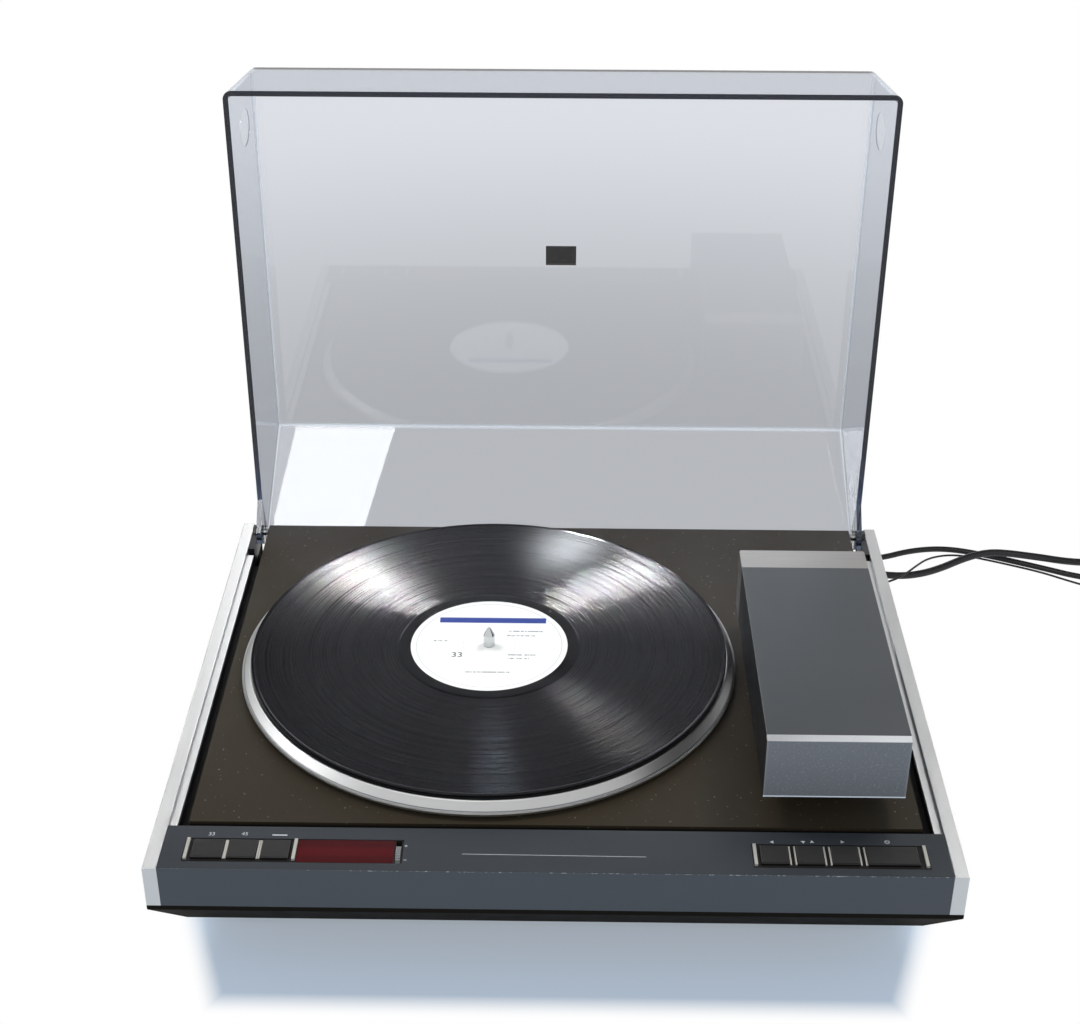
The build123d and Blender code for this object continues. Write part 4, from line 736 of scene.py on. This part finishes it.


# Soft limits of the buttons' dark edges and walls, and the window's brighter band, which is a
# painted highlight
BUTTON_EDGE = (-0.2034, -0.2026)
BUTTON_WALL = (0.0749, 0.0752)
WINDOW_HIGHLIGHT_BAND = (-0.2005, -0.1935, 0.002)


class TURNTABLE_OT_controls(bpy.types.Operator):
    """Finishes the buttons, bars, window and wheel"""

    bl_idname = "turntable.controls"
    bl_label = "Controls"

    def execute(self, context):
        colours = context.scene.turntable_colours
        caps = Finish("button_caps", gloss=0.45)
        fine = caps.noise(2600.0)
        brushed = caps.noise(1400.0, 3.0, 0.6, (0.06, 1.0, 1.0))
        dark = caps.most(caps.below(caps.y, *BUTTON_EDGE), caps.below(caps.z, *BUTTON_WALL))
        top = caps.mix(brushed, shade(colours.buttons, 0.8), shade(colours.buttons, 1.3))
        caps.set(
            colour=caps.mix(dark, top, tone(14, 13, 13)),
            rough=caps.ramp(brushed, 0.3, 0.7, 0.3, 0.42),
            normal=caps.bump(fine, 0.00001, 0.4),
        )
        dress(" ".join(name for name in nodes if name.endswith("_button")), caps)
        bars = turned_metal("bright_bars", tone(196, 192, 184), 0.4, (1, 0.1, 1))
        bars.set(metal=0.35)
        dress("trim_bars", bars)
        window = Finish("display_filter", rough=0.12, gloss=0.15)
        cloud = window.noise(70.0, 3.0, 0.6, (0.5, 2.0, 1.0))
        # Painted highlight: a brighter band across the window
        glow = window.band(window.y, *WINDOW_HIGHLIGHT_BAND)
        deep = window.mix(cloud, shade(colours.window, 0.7), shade(colours.window, 1.2))
        window.set(colour=window.mix(window.times(glow, 0.5), deep, tone(84, 12, 15)))
        dress("display_window", window)
        dress("fine_speed_wheel", plain_moulding("wheel_ribs", tone(120, 120, 120), 0.45, 0.4))
        dress("fine_speed_control", plain_moulding("control_case", tone(44, 44, 46), 0.45, 0.4))
        return {"FINISHED"}


FONT_OVER_HEIGHT = 1.4
# Names, places and turns in degrees of the panel's marks
NUMBERS = (("mark_33", "33", -0.1927, -0.1837), ("mark_45", "45", -0.1741, -0.1833))
ARROWS = (
    ("mark_out", 0.1214, -0.1851, 90),
    ("mark_down", 0.1387, -0.1848, 180),
    ("mark_up", 0.1437, -0.1847, 0),
    ("mark_in", 0.1605, -0.1844, -90),
)
ARROW_RADIUS = 0.0014
LINES = (
    ("mark_hairline", (0.1019, 0.00028), -0.00045, -0.19845, -0.4),
    ("mark_fine_speed", (0.0084, 0.0009), -0.1544, -0.1839, 0),
)
SIGNS = (("mark_plus", -0.0829, -0.1919, True), ("mark_minus", -0.0826, -0.2036, False))
SIGN_LINE = (0.0018, 0.0004)
SIGN_ARM = (0.0004, 0.0007)
SIGN_ARM_PLACE = 0.00055
POWER_PLACE = (0.1857, -0.1840)
POWER_LINE = (0.0004, 0.0014)
POWER_LINE_PLACE = 0.0008
POWER_RING = (0.0010, 0.0014)


class TURNTABLE_OT_marks(bpy.types.Operator):
    """Prints the generic marks on the front panel"""

    bl_idname = "turntable.marks"
    bl_label = "Panel marks"

    def plate(self, name, work, x, y, turn=0.0):
        """Gives a flat shape at the origin its thickness, and sets it on the panel."""
        bmesh.ops.recalc_face_normals(work, faces=work.faces)
        made = bmesh.ops.extrude_face_region(work, geom=work.faces[:])
        raised = [v for v in made["geom"] if isinstance(v, bmesh.types.BMVert)]
        bmesh.ops.translate(work, verts=raised, vec=(0, 0, INK_RISE))
        bmesh.ops.rotate(work, verts=work.verts, matrix=Matrix.Rotation(math.radians(turn), 3, "Z"))
        bmesh.ops.translate(work, verts=work.verts, vec=(x, y, PANEL_TOP + INK_RISE / 2))
        new_piece(name, close_mesh(work, name), self.ink, "base")

    def stroke(self, work, size, y=0.0):
        """A flat bar, set off from the origin along Y."""
        corners = bmesh.ops.create_grid(work, x_segments=1, y_segments=1, size=0.5)["verts"]
        bmesh.ops.scale(work, verts=corners, vec=(*size, 1))
        bmesh.ops.translate(work, verts=corners, vec=(0, y, 0))

    def execute(self, context):
        bright = context.scene.turntable_colours.ink
        height = context.scene.turntable_sizes.mark_height
        self.ink = Finish("panel_ink", rough=0.5, gloss=0.2)
        worn = self.ink.noise(3000.0)
        self.ink.set(colour=self.ink.mix(worn, shade(bright, 0.72), bright))
        for name, text, x, y in NUMBERS:
            place = (x, y, PANEL_TOP + INK_RISE)
            mesh = text_mesh(name, text, height * FONT_OVER_HEIGHT, place)
            new_piece(name, mesh, self.ink, "base")
        for name, x, y, turn in ARROWS:
            work = bmesh.new()
            bmesh.ops.create_circle(work, cap_ends=True, segments=3, radius=ARROW_RADIUS)
            self.plate(name, work, x, y, turn)
        for name, x, y, crossed in SIGNS:
            work = bmesh.new()
            self.stroke(work, SIGN_LINE)
            if crossed:
                self.stroke(work, SIGN_ARM, SIGN_ARM_PLACE)
                self.stroke(work, SIGN_ARM, -SIGN_ARM_PLACE)
            self.plate(name, work, x, y)
        for name, size, x, y, turn in LINES:
            work = bmesh.new()
            self.stroke(work, size)
            self.plate(name, work, x, y, turn)
        work = bmesh.new()
        self.stroke(work, POWER_LINE, POWER_LINE_PLACE)
        seed = [work.verts.new((radius, 0, 0)) for radius in POWER_RING]
        edge = work.edges.new(seed)
        bmesh.ops.rotate(work, verts=seed, matrix=Matrix.Rotation(math.radians(120), 3, "Z"))
        bmesh.ops.spin(work, geom=[*seed, edge], axis=(0, 0, 1), angle=math.radians(300), steps=20)
        self.plate("mark_power", work, *POWER_PLACE)
        return {"FINISHED"}


# Distances from the spindle
# The rim's groove, darkened as painted shade
RIM_GROOVE_SHADE = (0.1552, 0.1556)
COILS = (0.0245, 0.0415, 0.0004)


class TURNTABLE_OT_platter(bpy.types.Operator):
    """Finishes the platter, spindle, mat and motor"""

    bl_idname = "turntable.platter"
    bl_label = "Platter"

    def execute(self, context):
        metal = context.scene.turntable_colours.aluminium
        platter = Finish("platter_rim", metal=1.0, grain=0.6)
        reach, flat = platter.around(SPINDLE)
        lines = platter.rings(reach, 9000.0)
        cloud = platter.noise(22.0, detail=3.0)
        bare = platter.mix(cloud, metal, shade(metal, 0.88))
        # Painted shade: a darker ring where the rim's groove is
        groove_shade = platter.band(reach, *RIM_GROOVE_SHADE)
        platter.set(
            colour=platter.mix(groove_shade, bare, tone(120, 122, 126)),
            rough=platter.ramp(lines, 0.3, 0.7, 0.3, 0.42),
            tangent=platter.tangent_round(flat),
            normal=platter.bump(lines, 0.00001, 0.25),
        )
        dress("platter", platter)
        dress("platter_mat", plain_moulding("mat_rubber", tone(16, 16, 16), 0.75, 0.2, 0.00006))
        steel = Finish("spindle_steel", metal=1.0, colour=tone(210, 212, 214))
        lathe = steel.noise(2500.0, 3.0, 0.6, (0.05, 0.05, 1.0))
        steel.set(
            rough=steel.ramp(lathe, 0.3, 0.7, 0.1, 0.22),
            normal=steel.bump(lathe, 0.00001, 0.2),
        )
        dress("spindle", steel)
        dress("motor_rotor", turned_metal("rotor_steel", tone(170, 172, 174)))
        dress("bearing_sleeve", turned_metal("bearing_brass", tone(196, 160, 92)))
        stator = plain_moulding("stator_paint", tone(86, 88, 92), 0.45, 0.4)
        coils = stator.band(stator.around(SPINDLE)[0], *COILS)
        stator.set(colour=stator.mix(coils, tone(86, 88, 92), tone(158, 84, 42)))
        dress("motor_stator", stator)
        return {"FINISHED"}


# Distances from the spindle: the cut part of the record, and the gaps between its tracks
CUT_FROM = (0.0575, 0.0585)
CUT_TO = (0.1478, 0.1488)
GAPS = (0.0683, 0.0829, 0.0972, 0.1134, 0.1297)
GAP_WIDTH = 0.0009
SMOOTHEST = 0.10
# The label's print, as distances from the spindle
LABEL_RINGS = ((0.0462, 0.0466), (0.0166, 0.0168))
LABEL_BAND = ((-0.033, 0.036), (0.0245, 0.0305))
LABEL_ROWS = (
    (0.0145, 0.011, 0.034), (0.0095, 0.011, 0.029), (-0.012, 0.012, 0.030),
    (-0.016, 0.012, 0.026), (0.003, -0.036, -0.026), (-0.031, -0.014, 0.014),
)
ROW_HEIGHT = 0.0013
LABEL_NUMBER_SIZE = 0.0075
LABEL_NUMBER_X, LABEL_NUMBER_Y = -0.020, -0.012


class TURNTABLE_OT_record(bpy.types.Operator):
    """Finishes the record and prints its plain label"""

    bl_idname = "turntable.record"
    bl_label = "Record"

    def press_record(self):
        record = Finish("record_vinyl", grain=1.0, grain_turn=0.25, gloss=0.16)
        reach, flat = record.around(SPINDLE)
        grooves = record.rings(reach, 5200.0, 5.0, 0.8)
        tracks = record.rings(reach, 640.0, 4.0, 0.75)
        cut = record.times(record.ramp(reach, *CUT_FROM), record.below(reach, *CUT_TO))
        for gap in GAPS:
            smooth = record.band(reach, gap, gap + GAP_WIDTH, 0.0003)
            cut = record.times(cut, record.minus(1.0, record.times(smooth, 0.5)))
        texture = record.times(record.plus(grooves, tracks), 0.5)
        depth = record.ramp(texture, 0.38, 0.60, 0.07, 0.27)
        record.set(
            colour=record.mix(tracks, tone(7, 7, 9), tone(12, 12, 15)),
            rough=record.plus(SMOOTHEST, record.times(cut, depth)),
            tangent=record.tangent_round(flat),
            normal=record.bump(grooves, 0.00001, 0.05),
        )
        dress("record", record)

    def print_label(self, colours):
        label = Finish("label_paper", rough=0.55, gloss=0.3)
        reach = label.around(SPINDLE)[0]
        across = label.minus(label.x, SPINDLE.x)
        back = label.minus(label.y, SPINDLE.y)
        fibre = label.noise(2600.0, detail=3.0)
        paper = label.mix(fibre, shade(colours.label, 0.95), colours.label)
        rings = label.most(*(label.band(reach, *ring) for ring in LABEL_RINGS))
        paper = label.mix(label.times(rings, 0.5), paper, tone(110, 114, 130))
        stripe = label.times(label.band(across, *LABEL_BAND[0]), label.band(back, *LABEL_BAND[1]))
        paper = label.mix(stripe, paper, colours.band)
        rows = 0.0
        for low, left, right in LABEL_ROWS:
            line = label.band(back, low, low + ROW_HEIGHT)
            rows = label.most(rows, label.times(line, label.band(across, left, right)))
        words = label.ramp(label.noise(1500.0, 1.0, 0.5, (1.0, 0.05, 0.05)), 0.42, 0.5)
        rows = label.times(rows, words)
        label.set(
            colour=label.mix(label.times(rows, 0.75), paper, tone(90, 92, 104)),
            normal=label.bump(fibre, 0.00001, 0.3),
        )
        dress("record_label", label)

    def execute(self, context):
        self.press_record()
        self.print_label(context.scene.turntable_colours)
        ink = Finish("label_ink", colour=tone(60, 62, 80), rough=0.5, gloss=0.2)
        place = (SPINDLE.x + LABEL_NUMBER_X, SPINDLE.y + LABEL_NUMBER_Y, RECORD_TOP + INK_RISE)
        mesh = text_mesh("label_number", "33", LABEL_NUMBER_SIZE, place)
        new_piece("label_number", mesh, ink, "platter")
        return {"FINISHED"}


# The arm box's sides, the foot of its front, the start of its bevel and its top edge
ARM_LEFT, ARM_RIGHT = 0.11715, 0.19755
ARM_FOOT = 0.0903
ARM_BEVEL = 0.1294
ARM_FRONT = (-0.16395, -0.16375)
BEVEL_REAR = (-0.1602, -0.1600)
TOP_EDGE = (0.1305, 0.1307)
# Limits of the left flank's painted shade, at its top and its front
SHADED_FLANK_TOP = (0.1290, 0.1296)
SHADED_FLANK_FRONT = (-0.1640, -0.1630)


class TURNTABLE_OT_arm(bpy.types.Operator):
    """Finishes the arm box and what is inside it"""

    bl_idname = "turntable.arm"
    bl_label = "Arm box"

    def paint_cover(self, colours):
        cover = Finish("arm_paint", gloss=0.4)
        cloud = cover.noise(16.0, 4.0, 0.6)
        fine = cover.noise(1800.0, detail=3.0)
        speck = cover.ramp(cover.noise(700.0, 3.0, 0.7), 0.52, 0.7)

        def beside(start, end):
            """A strip along both sides that fades between two distances."""
            left = cover.below(cover.x, ARM_LEFT + start, ARM_LEFT + end)
            right = cover.ramp(cover.x, ARM_RIGHT - end, ARM_RIGHT - start)
            return cover.most(left, right)

        top = cover.mix(cloud, shade(colours.arm, 0.92), shade(colours.arm, 1.1))
        face = cover.mix(cover.times(speck, 0.55), tone(108, 107, 108), tone(142, 141, 142))
        face = cover.mix(beside(0.0008, 0.001), face, tone(124, 122, 120))
        foot = cover.below(cover.z, ARM_FOOT + 0.0008, ARM_FOOT + 0.001)
        face = cover.mix(foot, face, tone(222, 222, 222))
        paint = cover.mix(cover.below(cover.y, *ARM_FRONT), top, face)
        edge = cover.times(beside(0.0003, 0.0005), cover.ramp(cover.z, *TOP_EDGE))
        paint = cover.mix(cover.times(edge, 0.15), paint, tone(160, 162, 166))
        # Painted shade: the left flank is darkened as if it lay in shadow
        shaded_flank = cover.below(cover.x, ARM_LEFT + 0.0001, ARM_LEFT + 0.0003)
        shaded_flank = cover.times(shaded_flank, cover.below(cover.z, *SHADED_FLANK_TOP))
        shaded_flank = cover.times(shaded_flank, cover.ramp(cover.y, *SHADED_FLANK_FRONT))
        paint = cover.mix(shaded_flank, paint, tone(22, 23, 25))
        bevel = cover.ramp(cover.z, ARM_BEVEL, ARM_BEVEL + 0.0001)
        bevel = cover.times(bevel, cover.below(cover.y, *BEVEL_REAR))
        bright = cover.mix(fine, tone(198, 200, 203), tone(222, 224, 226))
        cover.set(
            colour=cover.mix(bevel, paint, bright),
            metal=cover.times(bevel, 0.9),
            rough=cover.ramp(cloud, 0.3, 0.7, 0.36, 0.46),
            normal=cover.bump(fine, 0.00003, 0.5),
        )
        dress("arm_cover", cover)

    def brush_cap(self):
        cap = Finish("arm_brushed", metal=1.0, grain=0.6)
        drawn = cap.noise(1900.0, 4.0, 0.7, (0.012, 1.0, 1.0))
        cap.set(
            colour=cap.mix(drawn, tone(146, 143, 139), tone(190, 187, 182)),
            rough=cap.ramp(drawn, 0.25, 0.75, 0.34, 0.48),
            tangent=cap.tangent_along((1, 0, 0)),
            normal=cap.bump(drawn, 0.00001, 0.35),
        )
        dress("arm_end_cap", cap)

    def execute(self, context):
        self.paint_cover(context.scene.turntable_colours)
        self.brush_cap()
        dress("arm_post", plain_moulding("post_paint", tone(40, 40, 42), 0.4, 0.4))
        dress("arm_chassis", turned_metal("chassis_sheet", tone(120, 122, 125), 0.42))
        dress("guide_rods", turned_metal("rod_steel", tone(208, 210, 212), 0.14))
        dress("carriage", plain_moulding("carriage_moulding", tone(46, 46, 48), 0.42, 0.4))
        dress("carriage_motor", turned_metal("motor_can", tone(176, 178, 180), 0.28))
        pulleys = plain_moulding("pulley_moulding", tone(222, 220, 208), 0.42, 0.4)
        dress("drive_pulley idler_pulley", pulleys)
        dress("drive_belt", plain_moulding("belt_rubber", tone(22, 22, 22), 0.65, 0.2))
        dress("tonearm", turned_metal("tonearm_alloy", tone(150, 152, 156), 0.32))
        dress("cartridge", plain_moulding("cartridge_moulding", tone(36, 36, 40), 0.3, 0.5))
        dress("stylus", plain_moulding("stylus_holder", tone(204, 96, 40), 0.35, 0.4))
        return {"FINISHED"}


SMOKE = tone(98, 128, 166)
SMOKE_DENSITY = 95.0
# The open lid's inside: its large wall, the fold to its rear wall, and its drafted sides
LID_WALL = 0.20925
LID_FOLD = 0.128
REAR_SLOPE = 0.946
LID_SIDE = 0.2097
SIDE_FROM = 0.157
SIDE_DRAFT = 0.092
# Width of the pale lines along the lid's inner fold and corners, which are painted highlights
PAINTED_HIGHLIGHT_WIDTH = (0.0004, 0.0020)
BADGE_FOOT = (0.2554, 0.2556)
BADGE_TONE = tone(44, 42, 40)


class TURNTABLE_OT_lid(bpy.types.Operator):
    """Finishes the smoked lid and its plate"""

    bl_idname = "turntable.lid"
    bl_label = "Lid"

    def execute(self, context):
        smoke = Finish(
            "smoked_acrylic", rough=0.01, ior=1.49, clear=1.0, colour=(0.97, 0.97, 0.975)
        )
        tint = smoke.add("ShaderNodeVolumeAbsorption", {"Color": SMOKE, "Density": SMOKE_DENSITY})
        smoke.feed(smoke.end.inputs["Volume"], tint.outputs[0])
        shadow = smoke.add("ShaderNodeLightPath").outputs["Is Shadow Ray"]
        through = smoke.add("ShaderNodeBsdfTransparent", {0: (0.93, 0.93, 0.94)})
        clear = smoke.add(
            "ShaderNodeMixShader",
            {0: shadow, 1: smoke.surface.outputs[0], 2: through.outputs[0]},
        )
        above = smoke.minus(smoke.z, LID_FOLD)
        sloped = smoke.times(smoke.maths("MINIMUM", above, 0.0), REAR_SLOPE)
        wall = smoke.unsigned(smoke.minus(smoke.y, smoke.plus(LID_WALL, sloped)))
        drafted = smoke.times(smoke.minus(smoke.y, SIDE_FROM), SIDE_DRAFT)
        side = smoke.minus(LID_SIDE, drafted)
        corner = smoke.unsigned(smoke.minus(smoke.unsigned(smoke.x), side))
        # Painted highlight: white diffuse lines along the inner fold and the side corners
        line = smoke.maths("MINIMUM", corner, smoke.unsigned(above))
        line = smoke.ramp(smoke.most(line, wall), *PAINTED_HIGHLIGHT_WIDTH, 0.7, 0.0)
        white = smoke.add("ShaderNodeBsdfDiffuse", {"Color": (0.95, 0.95, 0.95)})
        highlighted = smoke.add(
            "ShaderNodeMixShader", {0: line, 1: clear.outputs[0], 2: white.outputs[0]}
        )
        smoke.feed(smoke.end.inputs["Surface"], highlighted.outputs[0])
        dress("lid", smoke)
        badge = plain_moulding("badge_plate", BADGE_TONE, 0.3, 0.5)
        foot = badge.below(badge.z, *BADGE_FOOT)
        badge.set(colour=badge.mix(foot, BADGE_TONE, tone(110, 100, 84)))
        dress("lid_badge", badge)
        return {"FINISHED"}


# Each board: node, finish, scale and stretch of its tracks, foot and colour of its parts
BOARDS = (
    ("main_board", "board_lacquer", 240.0, (1.0, 0.2, 0.2), (0.0339, 0.0341), tone(52, 54, 58)),
    ("panel_board", "switch_board", 260.0, (0.2, 1.0, 0.2), (0.0627, 0.0629), tone(38, 38, 40)),
)


class TURNTABLE_OT_inside(bpy.types.Operator):
    """Finishes the boards and the transformer"""

    bl_idname = "turntable.inside"
    bl_label = "Inside"

    def execute(self, context):
        for name, finish, scale, stretch, height, part_tone in BOARDS:
            board = Finish(finish, rough=0.35, gloss=0.5)
            tracks = board.ramp(board.noise(scale, 2.0, 0.5, stretch), 0.48, 0.52)
            parts = board.ramp(board.z, *height)
            green = board.mix(tracks, tone(44, 92, 58), tone(60, 116, 74))
            board.set(colour=board.mix(parts, green, part_tone))
            dress(name, board)
        core = plain_moulding("transformer_lacquer", tone(112, 86, 62), 0.4, 0.4)
        sheets = core.noise(2200.0, 1.0, 0.5, (0.02, 1.0, 0.02))
        core.set(colour=core.mix(sheets, tone(96, 74, 54), tone(130, 100, 72)))
        dress("transformer", core)
        return {"FINISHED"}


class TURNTABLE_PT_finish(bpy.types.Panel):
    """Lists the finishing steps in the sidebar"""

    bl_idname = "TURNTABLE_PT_finish"
    bl_label = "Turntable"
    bl_space_type = "VIEW_3D"
    bl_region_type = "UI"
    bl_category = "Turntable"

    def draw(self, context):
        for group in (context.scene.turntable_colours, context.scene.turntable_sizes):
            for key in group.__annotations__:
                self.layout.prop(group, key)
        for step in STEPS:
            self.layout.operator(step.bl_idname)


GROUPS = (TurntableColours, TurntableSizes)
STEPS = (
    TURNTABLE_OT_camera,
    TURNTABLE_OT_cords,
    TURNTABLE_OT_stage,
    TURNTABLE_OT_body,
    TURNTABLE_OT_controls,
    TURNTABLE_OT_marks,
    TURNTABLE_OT_platter,
    TURNTABLE_OT_record,
    TURNTABLE_OT_arm,
    TURNTABLE_OT_lid,
    TURNTABLE_OT_inside,
)


def register():
    for group in (*GROUPS, *STEPS, TURNTABLE_PT_finish):
        bpy.utils.register_class(group)
    bpy.types.Scene.turntable_colours = bpy.props.PointerProperty(type=TurntableColours)
    bpy.types.Scene.turntable_sizes = bpy.props.PointerProperty(type=TurntableSizes)


def unregister():
    del bpy.types.Scene.turntable_sizes
    del bpy.types.Scene.turntable_colours
    for group in reversed((*GROUPS, *STEPS, TURNTABLE_PT_finish)):
        bpy.utils.unregister_class(group)


def main():
    register()
    bpy.ops.turntable.camera()
    bpy.ops.turntable.cords()
    bpy.ops.turntable.stage()
    bpy.ops.turntable.body()
    bpy.ops.turntable.controls()
    bpy.ops.turntable.marks()
    bpy.ops.turntable.platter()
    bpy.ops.turntable.record()
    bpy.ops.turntable.arm()
    bpy.ops.turntable.lid()
    bpy.ops.turntable.inside()


if __name__ == "__main__":
    main()
